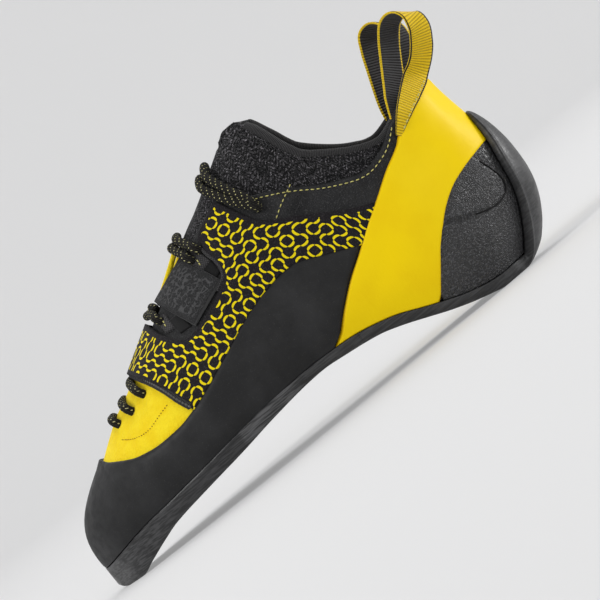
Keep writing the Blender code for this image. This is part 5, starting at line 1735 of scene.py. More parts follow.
@dataclass
class SockCollar(Piece):
    """Knitted tongue and collar with a bound rim and a zigzag seam."""

    rows: int = 34
    binding: float = 0.0032
    seam_below: float = 0.0062
    zigzag: float = 0.0044
    swing: float = 0.0009
    bound_row: float = 0.988

    def rim_relief(self, points: Array, edge: Array) -> Array:
        """Return the padding of the rim's binding and the groove under it."""
        near = np.clip(1 - np.abs(edge / self.binding - 0.5) / 0.5, 0, 1)
        groove = np.exp(-(((edge - self.binding * 1.08) / 0.0006) ** 2))
        return 0.0007 * np.sqrt(near) - 0.0005 * groove

    def build(self) -> None:
        """Build the knit, which lies inside the leather, and its seam."""
        deep = LEATHER + GAP
        parts = []
        for side in SIDES:
            q = fine_stations(24, 170, 30)
            start = self.last.number(side, THROAT_ROWS[0][0] - 0.02)
            q = np.concatenate([[start], q[q > start + 0.002]])
            low = sock_lower(self.last, side, q)
            parts.append(stretch(self.last, side, q, low, np.ones(len(q)), self.rows))
        dents = furrows(
            (
                Furrow((128, 106), (150, 118), 3.0, -0.6),
                Furrow((150, 104), (164, 112), 3.0, 0.5),
                Furrow((176, 86), (196, 76), 3.0, -0.5),
            )
        )
        piece = shell(
            "knit_collar",
            parts,
            -deep - KNIT,
            -deep,
            # The inside of the knit gets the near-black finish: painted shade inside the collar.
            [self.finishes.knit, self.finishes.window],
            bevel=0.0009,
            relief=both_reliefs(self.rim_relief, dents),
            closed_lip=0.0006,
        )
        self.own(piece, "knit", "tongue_collar")
        self.seam()
        self.bind()

    def bind(self) -> None:
        """Lay the ribbed binding along the rim, from the tongue around the heel and back."""
        halves = []
        for side in SIDES:
            q = np.linspace(self.last.number(side, 0.628), 3.0, 260)
            v = np.full(len(q), self.bound_row)
            middle = LEATHER + GAP + KNIT / 2
            halves.append(self.last.points(side, q, v) - self.last.ways_out(side, q, v) * middle)
        path = smooth_path(np.concatenate([halves[0], halves[1][::-1][1:]])[::4], 420)
        up = np.array([0.0, 0.0, 1.0])
        self.own(tube("collar_binding", to_frame(path), up, 0.0019, self.finishes.rib, 16), "knit")

    def seam(self) -> None:
        """Sew the zigzag under the rim's binding."""
        runs = []
        for side in SIDES:
            q = np.linspace(self.last.number(side, 0.622), 3.0, 700)
            fine = np.linspace(0.5, 1.0, 160)
            ribs = self.last.points(side, q[:, None], fine[None, :])
            steps = np.linalg.norm(np.diff(ribs, axis=1), axis=2)
            left = np.concatenate([np.cumsum(steps[:, ::-1], axis=1)[:, ::-1], np.zeros((len(q), 1))], axis=1)
            middle = self.last.points(side, q, np.full(len(q), 0.95))
            way = way_along(middle)
            wave = 2 * np.abs(way / self.zigzag - np.floor(way / self.zigzag + 0.5)) * 2 - 1
            goal = self.seam_below + self.swing * wave
            v = np.array([np.interp(-g, -row, fine) for g, row in zip(goal, left)])
            normal = self.last.ways_out(side, q, v)
            deep = LEATHER + GAP - 0.0002
            runs.append((to_frame(self.last.points(side, q, v) - normal * deep), normal))
        self.own(stitches("collar_seam", runs, self.finishes.black_thread, 0.0022, 0.0021, 0.0003), "knit")


@dataclass
class Insole(Piece):
    """Thin board with a felt cover that lies inside on the sole."""

    inset: float = 0.0040
    lift: float = 0.0008

    def build(self) -> None:
        """Build the board as level sections between its two edges."""
        numbers = np.linspace(0, 3, 601)
        lines = [base_edge(self.last, side, numbers, -self.inset) for side in SIDES]
        front = max(line[:, 0].min() for line in lines) + 0.0001
        back = min(line[:, 0].max() for line in lines) - 0.0001
        share = (1 - np.cos(np.linspace(0, np.pi, 90))) / 2
        x = front + (back - front) * share
        ends = []
        for line in lines:
            order = np.argsort(line[:, 0])
            ends.append(np.interp(x, line[order, 0], line[order, 1]))
        across = np.linspace(0, 1, 14)
        y = ends[0][:, None] + (ends[1] - ends[0])[:, None] * across
        z = (self.last.line(x) + self.lift)[:, None] + 0 * y
        crown = 0.0003 * (1 - (2 * across - 1) ** 2)
        over = np.stack([x[:, None] + 0 * y, y, z + INSOLE + crown], axis=-1)
        under = np.stack([x[:, None] + 0 * y, y, z], axis=-1)[:, ::-1]
        rings = np.concatenate([over, under], axis=1)
        piece = closed_sweep("felt_insole", to_frame(rings), [self.finishes.board])
        self.own(piece, "insole_board", "insole")


def base_edge(last: Last, side: Side, q: Array, outward: float) -> Array:
    """Return the sole line moved sideways by a layer that stands outward on the last."""
    q = np.atleast_1d(np.asarray(q, float))
    foot = last.points(side, q, np.zeros_like(q))
    ways = last.ways_out(side, q, np.zeros_like(q)) * (1, 1, 0)
    return foot + unit(ways) * outward


def edge_at(last: Last, along: Array, outward: float) -> list[Array]:
    """Return the y of the outer and inner edges of the moved sole line at ways along the shoe."""
    edges = []
    for side in SIDES:
        line = base_edge(last, side, np.linspace(0, 3, 1201), outward)
        order = np.argsort(line[:, 0])
        edges.append(np.interp(along, line[order, 0], line[order, 1]))
    return edges


@dataclass
class Soles(Piece):
    """Split sole: toe and arch in front, heel and the strip up its back behind."""

    thin: float = 0.0025
    lip: float = 0.0005
    side_rows: int = 12
    across: int = 22
    crown: float = 0.06
    turn_pull: float = 0.0018
    turn_depth: float = 0.3
    smooth_rings: int = 190
    rear_shares: tuple[float, ...] = (
        0.608, 0.628, 0.648, 0.668, 0.688, 0.708, 0.728, 0.748, 0.770, 0.792, 0.812, 0.836, 0.852, 0.870,
    )
    strip_rows: tuple[Colour, ...] = (
        (0.0, 1.0, 1.22), (0.05, 1.05, 1.14), (0.10, 1.05, 1.05), (0.16, 1.02, 0.94), (0.22, 0.98, 0.82),
        (0.30, 0.92, 0.68), (0.38, 0.82, 0.54), (0.45, 0.68, 0.45), (0.51, 0.50, 0.38), (0.55, 0.34, 0.30),
        (0.574, 0.18, 0.22), (0.582, 0.08, 0.15),
    )
    strip_columns: tuple[str, ...] = ("height", "thick", "wide")

    def __post_init__(self) -> None:
        """Keep the curve of the underside."""
        self.under = edge_curve(UNDERSIDE_ROWS, ARCH_RISE)
        self.outward = GAP + RUBBER + SOLE_LEDGE

    def ring(self, over: Array, beneath: Array, pull: float) -> Array:
        """Return a section around an upper row and a lower row of points.

        The sides fall from the upper row and round into the lower one, which is pulled in at its ends.
        The inset at a share t of the way down is pull times one minus the root of one minus t^4.
        """
        t = np.sin(np.linspace(0, np.pi / 2, self.side_rows + 2))[1:-1, None]
        inset = pull * (1 - np.sqrt(np.maximum(1 - t**4, 0)))
        across = unit(over[-1] - over[0])
        right = over[-1] + (beneath[-1] - over[-1]) * t - across * inset
        left = over[0] + (beneath[0] - over[0]) * t + across * inset
        width = np.linalg.norm(beneath[-1] - beneath[0])
        share = np.linspace(-1, 1, len(beneath))[:, None]
        lower = beneath - across * share * min(pull, 0.4 * width)
        return np.concatenate([over, right, lower[::-1], left[::-1]])

    def level(self, x: float, ends: tuple[float, float], top: float) -> Array:
        """Return a level section between two edges."""
        share = np.linspace(0.0, 1.0, self.across)
        y = ends[0] + (ends[1] - ends[0]) * share
        bottom = min(float(self.under(x)), top - self.thin)
        over = np.stack([0 * y + x, y, 0 * y + top + self.lip], axis=-1)
        beneath = np.stack([0 * y + x, y, 0 * y + bottom], axis=-1)
        width = ends[1] - ends[0]
        return self.ring(over, beneath, min(SOLE_CHAMFER, 0.3 * width))

    def build(self) -> None:
        """Build both soles."""
        self.build_front()
        self.build_rear()

    def build_front(self) -> None:
        """Loft the front sole from the tip to the joint under the arch."""
        tip = min(base_edge(self.last, side, np.array([0.0]), self.outward)[0, 0] for side in SIDES)
        joint = SOLE_JOINT * SHOE_LENGTH + GAP + 0.0002
        near = tip + 0.00004 + 0.010 * np.linspace(0, 1, 22) ** 2
        x = np.concatenate([near, np.linspace(near[-1], joint, 120)[1:]])
        outer, inner = edge_at(self.last, x, self.outward)
        tops = self.last.line(x)
        rings = [self.level(way, (a, b), float(top)) for way, a, b, top in zip(x, outer, inner, tops)]
        piece = closed_sweep("front_sole", to_frame(np.array(rings)), [self.finishes.sole])
        self.own(piece, "sole_rubber", "front_outsole")

    def strip_station(self) -> float:
        """Return the station number at which the heel strip leaves the sole's outline."""
        numbers = np.linspace(2.0, 3.0, 201)
        across = np.abs(self.last.plan(self.last.station(Side.OUTER, numbers))[:, 1])
        return float(np.interp(-STRIP_HALF_WIDTH, -across, numbers))

    def build_rear(self) -> None:
        """Loft the heel sole: level sections, a turn at the heel, then the strip up its back."""
        last = self.last
        x = np.concatenate([[SOLE_JOINT * SHOE_LENGTH + GAP], np.array(self.rear_shares) * SHOE_LENGTH])
        outer, inner = edge_at(last, x, self.outward)
        rings = [self.level(w, (a, b), float(t)) for w, a, b, t in zip(x, outer, inner, last.line(x))]
        share = np.linspace(-1.0, 1.0, self.across)
        corner = self.strip_station()
        start = last.number(Side.OUTER, self.rear_shares[-1])
        turn = (start + corner) / 2
        ends = [base_edge(last, side, np.array([turn]), self.outward)[0] for side in SIDES]
        middle = base_edge(last, Side.OUTER, np.array([3.0]), self.outward)[0]
        bow = self.turn_depth / (corner - turn + self.turn_depth) * (middle[0] - ends[0][0]) / 2
        over = ends[0] + (ends[1] - ends[0]) * ((share + 1) / 2)[:, None]
        over[:, 0] += bow * (1 - share**2)
        over[:, 2] = last.line(np.minimum(over[:, 0], LINE_LOW * SHOE_LENGTH))
        beneath = over.copy()
        beneath[:, 2] = np.minimum(self.under(over[:, 0]), over[:, 2] - self.thin)
        rings.append(self.ring(over, beneath, self.turn_pull))
        heights, thicks, widths = (column(self.strip_rows, self.strip_columns, n) for n in self.strip_columns)
        for v, thick, wide in zip(heights, thicks, widths):
            over = np.empty((self.across, 3))
            ways = np.empty((self.across, 3))
            for side in SIDES:
                here = (share < 0) if side is Side.OUTER else (share >= 0)
                q = 3 - np.abs(share[here]) * (3 - corner) * wide
                ways[here] = last.ways_out(side, q, np.full(q.shape, v))
                if v == 0.0:
                    over[here] = base_edge(last, side, q, self.outward) - (0, 0, SOLE_LEDGE)
                else:
                    over[here] = last.points(side, q, np.full(q.shape, v)) + ways[here] * self.strip_lift
            depth = HEEL_STRIP * thick
            crown = 1 + self.crown * (1 - share**2)
            beneath = over + ways * (depth * crown)[:, None]
            beneath[:, 2] = np.maximum(beneath[:, 2], 0.0)
            rings.append(self.ring(over, beneath, min(SOLE_CHAMFER, 0.45 * depth)))
        rings = np.array(rings)
        flat = rings.reshape(len(rings), -1)
        smooth = smooth_path(flat, self.smooth_rings).reshape(self.smooth_rings, rings.shape[1], 3)
        smooth[..., 2] = np.maximum(smooth[..., 2], 0.0)
        piece = closed_sweep("heel_sole", to_frame(smooth), [self.finishes.sole])
        self.own(piece, "sole_rubber", "rear_outsole")

    @property
    def strip_lift(self) -> float:
        """Return how far the heel strip's inside lies off the last."""
        return GAP + RUBBER + GAP


@dataclass
class ToeRand(Piece):
    """Black rubber over the toe and along both sides."""

    rows: int = 30
    end: float = 0.688
    band_start: float = 0.5465
    narrowest: float = 0.012

    @staticmethod
    def skive(points: Array) -> Array:
        """Return the width of the thinned border: wide at the upper edge, narrow at the sole."""
        return 0.0004 + 0.0026 * soft_step(points[:, 2], 0.027, 0.036)

    def build(self) -> None:
        """Build the rand from the sole line up to its edge, and up to the band behind."""
        last = self.last
        parts = []
        for side in SIDES:
            q = np.concatenate([np.linspace(0, 1, 37)[:-1], np.linspace(1, last.number(side, self.end), 150)])
            high = last.height(side, q, edge_curve(RAND_EDGE_ROWS))
            low = last.height(side, q, edge_curve(BAND_FRONT_ROWS), GAP)
            low = np.where(last.shares(side, q) > self.band_start, low, 0.0)
            low = np.minimum(low, high - self.narrowest)
            parts.append(stretch(last, side, q, low, high, self.rows, seated=True))
        waves = furrows(
            (
                Furrow((20, 30), (60, 24), 5.0, -0.35),
                Furrow((60, 33), (105, 40), 5.0, -0.30),
                Furrow((96, 34), (130, 46), 6.0, 0.35),
            )
        )
        piece = shell("toe_rand_rubber", parts, SEAT, GAP + RUBBER, [self.finishes.rand], self.skive, waves)
        self.own(piece, "rand_rubber", "toe_rand")


@dataclass
class HeelCup(Piece):
    """Black grained rubber cup around the heel, with a raised inner patch."""

    rows: int = 60
    start: float = 0.740
    over_band: float = 0.002
    step: float = 0.0005
    groove: float = 0.0004
    groove_width: float = 0.7
    patch_corners: tuple[Spot, ...] = ((206, 60), (231, 60))
    patch_edge: tuple[Spot, ...] = (
        (231.6, 51.6), (232.6, 48.0), (234.3, 43.1), (235.4, 38.0), (235.0, 34.0), (233.2, 31.4), (229.5, 29.8),
        (225.8, 29.6), (217.5, 31.8), (207.0, 36.6),
    )

    def build(self) -> None:
        """Build the cup from the sole line up to just under the band."""
        last = self.last
        parts = []
        for side in SIDES:
            q = np.concatenate([np.linspace(last.number(side, self.start), 2, 90)[:-1], np.linspace(2, 3, 110)])
            high = np.maximum(last.height(side, q, edge_curve(BAND_REAR_ROWS), self.over_band), 0.02)
            parts.append(stretch(last, side, q, np.zeros(len(q)), high, self.rows, seated=True))
        edge_line = smooth_path(np.array(self.patch_edge), 160)

        def raised(points: Array, edge: Array) -> Array:
            """Return the step of the patch: inside its line the wall is thicker."""
            flat = np.stack([(points[:, 0] + HEEL_REST) / MM, points[:, 2] / MM], axis=-1)
            away = nearest_gap(flat, edge_line)
            signed = np.where(within(flat, np.concatenate([edge_line, self.patch_corners])), away, -away)
            trough = self.groove * np.exp(-((away / self.groove_width) ** 2))
            return (self.step * soft_step(signed, -0.3, 0.8) - trough) * soft_step(edge, 0.0006, 0.0028)

        piece = shell("heel_cup_rubber", parts, SEAT, GAP + RUBBER - 0.0004, [self.finishes.cup], 0.0008, raised)
        self.own(piece, "rand_rubber", "heel_rand")
        # A thin near-black cord along the patch's line: painted shade of the moulded groove.
        for side in SIDES:
            line, ways = run_on(last, side, self.patch_edge[1:-1], GAP + RUBBER - 0.0004, 0.0005)
            groove = tube(f"painted_groove_shade_{side.name.lower()}", line, ways, 0.00045, self.finishes.window, 10)
            self.own(groove, "rand_rubber")


@dataclass
class HeelBand(Piece):
    """Yellow tensioned band from the arch on both sides around the back of the heel."""

    rows: int = 30
    start: float = 0.5485
    cup_start: float = 0.7325
    narrowest: float = 0.010

    def build(self) -> None:
        """Build the band between its front and rear edges."""
        last = self.last
        parts = []
        for side in SIDES:
            q = np.concatenate([np.linspace(last.number(side, self.start), 2, 130)[:-1], np.linspace(2, 3, 50)])
            high = last.height(side, q, edge_curve(BAND_FRONT_ROWS))
            low = last.height(side, q, edge_curve(BAND_REAR_ROWS))
            low = np.where(last.shares(side, q) > self.cup_start, low, 0.0)
            low = np.minimum(low, high - self.narrowest)
            parts.append(stretch(last, side, q, low, high, self.rows, seated=True))
        folds = furrows(
            (
                Furrow((176, 30), (214, 60), 7.0, 0.4),
                Furrow((205, 58), (238, 72), 6.0, -0.35),
                Furrow((150, 25), (182, 44), 5.0, -0.25),
            )
        )
        piece = shell("heel_band_rubber", parts, SEAT, GAP + RUBBER, [self.finishes.band], 0.0011, folds)
        self.own(piece, "band_rubber", "heel_band")


@dataclass
class Harness(Piece):
    """Printed panel on both sides with a band over the instep."""

    rows: int = 34
    arch: float = 0.0012
    stops: tuple[float, ...] = (0.2445, 0.322, 0.372, 0.470, 0.490, 0.544, 0.584, 0.748)
    counts: tuple[int, ...] = (34, 30, 34, 16, 18, 24, 62)
    narrowest: float = 0.012
    tucked: float = 0.0022
    rand_end: float = 0.175
    band_start: float = 0.150
    piping: Spot = (0.0925, 0.1095)
    piping_row: float = 0.970
    front_line: tuple[Spot, ...] = (
        (62.6, 69.2), (64.4, 66.2), (67.4, 62.0), (70.6, 55.8), (73.2, 48.6), (75.6, 43.2),
    )
    window_line: tuple[Spot, ...] = (
        (113.6, 74.0), (116.4, 75.6), (118.8, 76.8), (120.6, 79.8), (120.9, 84.0), (119.9, 88.4), (119.6, 92.0),
    )

    def build(self) -> None:
        """Build the panel between the rand, the band and its own front and upper edges."""
        last = self.last
        parts = []
        for side in SIDES:
            ends = [last.number(side, share) for share in self.stops]
            runs = [np.linspace(a, b, n + 1)[:-1] for a, b, n in zip(ends[:-1], ends[1:], self.counts)]
            q = np.concatenate([*runs, ends[-1:]])
            share = last.shares(side, q)
            low_rand = last.height(side, q, edge_curve(RAND_EDGE_ROWS), -0.0010)
            low_band = last.height(side, q, edge_curve(BAND_FRONT_ROWS), -0.0010)
            low_front = last.height(side, q, edge_curve(HARNESS_FRONT_ROWS))
            low = np.where(share < 0.302, np.maximum(low_front, low_rand), np.minimum(low_rand, 1.0))
            low = np.maximum(low, np.where(share > 0.60, np.minimum(low_band, 0.9), 0.0))
            high = last.height(side, q, edge_curve(HARNESS_TOP_ROWS))
            low = np.minimum(low, high - self.narrowest)
            part = stretch(last, side, q, low, high, self.rows)
            v = low[:, None] + (high - low)[:, None] * crowded(self.rows)
            lift = self.arch * np.clip((0.36 - share) / 0.03, 0, 1)[:, None] * np.clip((v - 0.5) / 0.25, 0, 1)
            parts.append(Stretch(part.points + part.ways * lift[..., None], part.ways, part.chart))
        folds = furrows(
            (
                Furrow((92, 54), (128, 68), 4.0, -0.35),
                Furrow((120, 70), (146, 84), 4.0, 0.35),
                Furrow((128, 92), (138, 80), 3.0, -0.30),
                Furrow((66, 66), (78, 60), 3.0, 0.25),
            )
        )
        piece = shell(
            "printed_harness", parts, SEAT, GAP + PANEL, [self.finishes.printed], 0.0007, folds, free=self.free_edge
        )
        self.own(piece, "printed_cloth", "harness")
        self.trim()

    def free_edge(self, points: Array) -> Array:
        """Tell which border points lie away from the rand and the band, where the cloth is hemmed."""
        along = points[:, 0] + HEEL_REST
        by_rand = points[:, 2] - edge_curve(RAND_EDGE_ROWS)(along) < self.tucked
        by_band = points[:, 2] - edge_curve(BAND_FRONT_ROWS)(along) < self.tucked
        return ~((by_rand & (along < self.rand_end)) | (by_band & (along > self.band_start)))

    def trim(self) -> None:
        """Bind the front edge and the window's rear edge, and whip the binding with thread."""
        runs = []
        for side in SIDES:
            name = side.name.lower()
            path, normals = run_on(self.last, side, self.front_line, GAP + PANEL - 0.0002, 0.0006)
            self.own(tube(f"front_binding_{name}", path, normals, 0.0015, self.finishes.rib, 12, 0.42), "printed_cloth")
            rim, ways = run_on(self.last, side, self.window_line, GAP + PANEL - 0.0003, 0.0004)
            self.own(tube(f"window_binding_{name}", rim, ways, 0.0007, self.finishes.webbing, 10, 0.8), "printed_cloth")
            runs.append(run_on(self.last, side, self.front_line, GAP + PANEL + 0.0005, 0.0006))
        along = np.linspace(*self.piping, 40)
        q = np.array([self.last.number(Side.INNER, a / SHOE_LENGTH) for a in along])
        v = np.full(len(q), self.piping_row)
        ways = self.last.ways_out(Side.INNER, q, v)
        ridge = to_frame(self.last.points(Side.INNER, q, v) + ways * 0.0003)
        self.own(tube("far_piping", ridge, ways, 0.0012, self.finishes.suede, 12), "printed_cloth")
        whipping = stitches("binding_stitches", runs, self.finishes.grey_thread, 0.0017, 0.0017, 0.00042)
        self.own(whipping, "printed_cloth")


@dataclass
class LaceTabs(Piece):
    """Pressed black tabs, one on each side, in the windows of the harness."""

    outlines: dict[Side, tuple[Spot, ...]] = field(
        default_factory=lambda: {
            Side.OUTER: ((89.8, 86.0), (97.6, 68.4), (118.0, 76.4), (110.6, 94.2)),
            Side.INNER: ((89.4, 84.6), (96.4, 67.4), (115.2, 76.8), (108.6, 94.6)),
        }
    )

    def build(self) -> None:
        """Build both tabs."""
        base = GAP + 0.0003
        for side in SIDES:
            name = side.name.lower()
            corners = self.outlines[side]
            piece = patch(
                f"pressed_tab_{name}", self.last, side, corners, base, base + TAB + 0.0002,
                [self.finishes.tab], (54, 54), 0.0007,
            )
            self.own(piece, "tab_cloth", f"lace_tab_{name}")


@dataclass
class Keepers(Piece):
    """Short loops of webbing that hold the lace, sewn down with pale thread, over near-black patches that paint the
    shade in the harness's windows.
    """

    # Near-black patches in the windows: painted shade in the holes.
    painted_shade_patches: tuple[tuple[Spot, ...], ...] = (
        ((89.2, 77.4), (90.4, 70.2), (96.2, 69.8), (94.8, 77.6)),
        ((112.0, 92.0), (116.0, 78.6), (120.2, 80.2), (119.4, 89.0)),
    )

    outlines: tuple[tuple[Spot, ...], ...] = (
        ((85.2, 81.4), (85.6, 73.4), (90.2, 73.2), (90.2, 80.6)),
        ((109.8, 92.4), (112.4, 84.0), (119.6, 85.8), (117.2, 94.4)),
    )
    bars: tuple[tuple[Spot, ...], ...] = (((87.6, 75.4), (88.2, 78.4)), ((115.0, 86.6), (115.4, 89.6)))

    def build(self) -> None:
        """Build the keepers of both sides and the bar of stitches on each."""
        runs = []
        for side in SIDES:
            # Painted shade: flat near-black patches where the windows open.
            for k, outline in enumerate(self.painted_shade_patches):
                name = f"painted_shade_black_{side.name.lower()}_{k + 1}"
                piece = patch(name, self.last, side, outline, SEAT, GAP + 0.0002, [self.finishes.window])
                self.own(piece, "printed_cloth")
            for k, (outline, bar) in enumerate(zip(self.outlines, self.bars)):
                name = f"keeper_{side.name.lower()}_{k + 1}"
                piece = patch(name, self.last, side, outline, SEAT, 0.0013, [self.finishes.webbing], (24, 24), 0.0006)
                self.own(piece, "printed_cloth")
                runs.append(run_on(self.last, side, bar, 0.0014))
        self.own(stitches("keeper_stitches", runs, self.finishes.pale_thread, 0.0019, 0.0016, 0.0003), "printed_cloth")


@dataclass(frozen=True)
class LacePass:
    """One strand over the instep: its places on both sides, in millimetres of the side view."""

    outer: tuple[Spot, ...]
    inner: tuple[Spot, ...]
    lift: float
    depth: float = 0.0035


@dataclass
class Lacing(Piece):
    """Round braided lace that runs over the instep through its eyelets."""

    radius: float = 0.00195
    sunk: float = 0.0021
    toe: tuple[LacePass, ...] = (
        LacePass(((45.2, 56.4), (44.4, 58.2)), ((44.4, 56.6), (44.2, 58.2)), 0.0002),
        LacePass(((53.2, 57.6), (52.2, 60.4)), ((52.2, 58.4), (52.0, 60.6)), 0.0002),
        LacePass(((61.8, 60.4), (60.4, 64.8)), ((60.2, 61.8), (60.0, 65.0)), 0.0002),
    )
    middle: tuple[LacePass, ...] = (
        LacePass(((87.2, 78.6), (86.4, 81.8), (87.0, 85.4)), ((88.2, 80.4), (87.8, 84.0)), 0.0010),
        LacePass(((113.4, 90.6), (112.0, 95.0), (110.8, 98.2)), ((111.6, 94.0), (110.8, 97.6)), 0.0012),
        LacePass(((118.2, 92.2), (116.4, 96.0), (114.6, 99.6)), ((114.8, 97.0), (114.2, 99.8)), 0.0012),
    )
    top: tuple[LacePass, ...] = (
        LacePass(
            ((148.4, 91.2), (145.0, 95.4), (141.0, 101.0), (137.8, 107.0), (136.0, 111.0)),
            ((147.5, 98.0), (142.0, 104.0), (137.5, 109.0)),
            0.0004,
        ),
        LacePass(
            ((148.8, 92.0), (147.4, 96.6), (144.4, 102.6), (142.0, 108.6), (140.6, 113.4)),
            ((148.8, 99.5), (145.0, 106.0), (141.4, 112.5)),
            0.0004,
        ),
    )

    def path(self, one: LacePass) -> Array:
        """Return the path of a strand: out of one eyelet, over the ridge and into the other."""
        last = self.last
        halves = {}
        for side, places in ((Side.OUTER, one.outer), (Side.INNER, one.inner)):
            flat = np.array(places) * MM
            points, normals = last.on(side, flat[:, 0], flat[:, 1])
            raised = points + normals * (self.radius + one.lift)
            halves[side] = np.concatenate([points[:1] - normals[:1] * one.depth, raised])
        tops = [places[-1][0] * MM for places in (one.outer, one.inner)]
        along = sum(tops) / 2
        q = np.array([last.number(Side.OUTER, along / SHOE_LENGTH)])
        ridge = to_frame(last.points(Side.OUTER, q, np.ones(1)))
        normal = last.ways_out(Side.OUTER, q, np.ones(1))
        ridge = ridge + normal * (self.radius + one.lift - self.sunk)
        return smooth_path(np.concatenate([halves[Side.OUTER], ridge, halves[Side.INNER][::-1]]), 120)

    def build(self) -> None:
        """Build the toe passes, the middle passes and the top pass."""
        up = np.array([0.25, 0.1, 1.0])
        for group in ("toe", "middle", "top"):
            for k, one in enumerate(getattr(self, group)):
                name = f"lace_{group}_pass_{k + 1}"
                piece = tube(name, self.path(one), up, self.radius, self.finishes.lace)
                self.own(piece, "lace", *([f"lace_{group}"] if k == 0 else []))


@dataclass
class PullLoops(Piece):
    """Two loops of ribbed tape at the top of the heel.

    Each place of a tape's middle line is (way along, y, height) in millimetres. The tape's width lies
    along a slanted way that leans over the foot by the turn given at the same share of the tape.
    """

    near: tuple[Colour, ...] = (
        (213.6, -26.4, 77.6), (221.5, -25.4, 83.9), (228.8, -20.6, 88.6), (236.0, -14.5, 93.2),
        (242.0, -15.5, 97.6), (246.2, -19.0, 102.6), (249.2, -22.0, 108.6), (249.0, -22.5, 114.2),
        (246.2, -19.5, 117.8), (241.2, -13.5, 117.2), (236.2, -9.5, 111.6), (231.9, -9.5, 105.0),
        (227.0, -12.5, 97.2), (220.9, -17.5, 88.6), (217.4, -20.5, 83.0),
    )
    far: tuple[Colour, ...] = (
        (229.0, 9.0, 87.5), (234.5, 8.0, 94.5), (238.6, 7.5, 102.5), (241.4, 8.0, 110.0), (241.8, 10.5, 116.6),
        (238.0, 15.0, 120.4), (232.8, 19.5, 119.4), (229.0, 21.0, 113.0), (225.8, 21.0, 105.0), (222.8, 21.0, 97.0),
        (220.4, 21.5, 89.0), (219.6, 21.8, 83.0),
    )
    near_turns: tuple[float, ...] = (0.30, 0.32, 0.45, 0.60, 0.62, 0.56, 0.50, 0.50)
    far_turns: tuple[float, ...] = (0.30, 0.30, 0.40, 0.55, 0.55, 0.45)
    near_widths: tuple[float, ...] = (0.22, 0.62, 0.86, 1.0, 1.0, 1.0, 1.0, 1.0, 1.0, 1.0, 1.0, 0.9, 0.6)
    lean: float = math.radians(38.86)

    def ribbon(self, name: str, path: Array, across: Array, widths: Sequence[float] = (1.0, 1.0)) -> Object:
        """Make a flat tape with rounded edges; its outer face and inner face have their own finish.

        Args:
            name: name of the object.
            path: places of the tape's middle line.
            across: way of the tape's width at each place.
            widths: shares of the full width, evenly spread over the tape; less where it is folded.

        Returns:
            The new object.
        """
        folded = np.interp(np.linspace(0, 1, len(path)), np.linspace(0, 1, len(widths)), widths)[:, None, None]
        tangent = tangents(path)
        across = unit(across - (across * tangent).sum(axis=1, keepdims=True) * tangent)
        face = np.cross(across, tangent)
        half, thick = TAPE_WIDTH / 2, TAPE / 2
        places = np.linspace(-1, 1, 11)
        height = thick * np.sqrt(1 - 0.72 * places**8)
        upper = np.stack([places * half, height], axis=-1)
        lower = np.stack([places * half, -height], axis=-1)[::-1]
        profile = np.concatenate([upper, lower])
        rings = path[:, None] + folded * profile[:, :1] * across[:, None] + profile[:, 1:] * face[:, None]
        kinds = np.concatenate([np.zeros(len(upper), int), np.ones(len(lower), int)])
        turn = np.concatenate([profile[:, 0], profile[:1, 0]])
        finishes = [self.finishes.tape_outer, self.finishes.tape_inner]
        return closed_sweep(name, rings, finishes, kinds, turn)

    def slanted(self, turns: Sequence[float], count: int) -> Array:
        """Return the width's way at each place: down towards the heel, and turned over the foot."""
        turn = np.interp(np.linspace(0, 1, count), np.linspace(0, 1, len(turns)), turns)
        downhill = np.array([math.cos(self.lean), 0.0, -math.sin(self.lean)])
        return np.cos(turn)[:, None] * downhill + np.sin(turn)[:, None] * np.array([0.0, 1.0, 0.0])

    def build(self) -> None:
        """Build both loops and the stitches that hold the near one."""
        near = to_frame(smooth_path(np.array(self.near) * MM, 170))
        slant = self.slanted(self.near_turns, len(near))
        piece = self.ribbon("pull_tape_outer", near, slant, self.near_widths)
        self.own(piece, "tape", "pull_loop_outer")
        far = to_frame(smooth_path(np.array(self.far) * MM, 150))
        piece = self.ribbon("pull_tape_inner", far, self.slanted(self.far_turns, len(far)))
        paint(piece, 1, lambda p: p[:, 1] < 0.0125)
        self.own(piece, "tape", "pull_loop_inner")
        sewn = slice(4, 44)
        tangent = tangents(near)[sewn]
        across = unit(slant[sewn] - (slant[sewn] * tangent).sum(axis=1, keepdims=True) * tangent)
        face = np.cross(across, tangent)
        shares = np.linspace(0, 1, len(self.near_widths))
        folded = np.interp(np.linspace(0, 1, len(near)), shares, self.near_widths)[sewn, None]
        line = near[sewn] + across * folded * (TAPE_WIDTH * 0.36) + face * (TAPE * 0.45)
        self.own(stitches("tape_stitches", [(line, face)], self.finishes.pale_thread, 0.0026, 0.0019, 0.0003), "tape")


@dataclass
class Seams(Piece):
    """Rows of pale stitches on the leather and of amber ones on the toe."""

    collar_row: tuple[Spot, ...] = (
        (147.0, 96.0), (155.0, 92.5), (165.0, 87.0), (175.0, 80.5), (185.0, 75.5), (190.0, 73.7), (195.0, 73.2),
        (203.0, 75.0), (208.0, 77.5), (214.0, 82.5),
    )
    diagonal: tuple[Spot, ...] = ((151.5, 82.5), (157.0, 86.0), (166.0, 90.5))
    toe_row: tuple[Spot, ...] = (
        (41.9, 51.3), (46.0, 48.9), (50.9, 47.6), (55.5, 47.7), (60.1, 49.1), (64.0, 50.2), (67.6, 51.1),
    )

    def build(self) -> None:
        """Sew every row."""
        last = self.last
        pale = []
        for side in SIDES:
            pale.append(run_on(last, side, self.collar_row, 0.0002))
            pale.append(run_on(last, side, self.diagonal, 0.0002))
        self.own(stitches("pale_leather_stitches", pale, self.finishes.pale_thread, 0.0024, 0.0016, 0.00025), "leather")
        holes = [run_on(last, side, self.toe_row, -0.0005) for side in SIDES]
        self.own(stitches("toe_seam_stitches", holes, self.finishes.amber_thread, 0.0014, 0.0007, 0.00022), "leather")


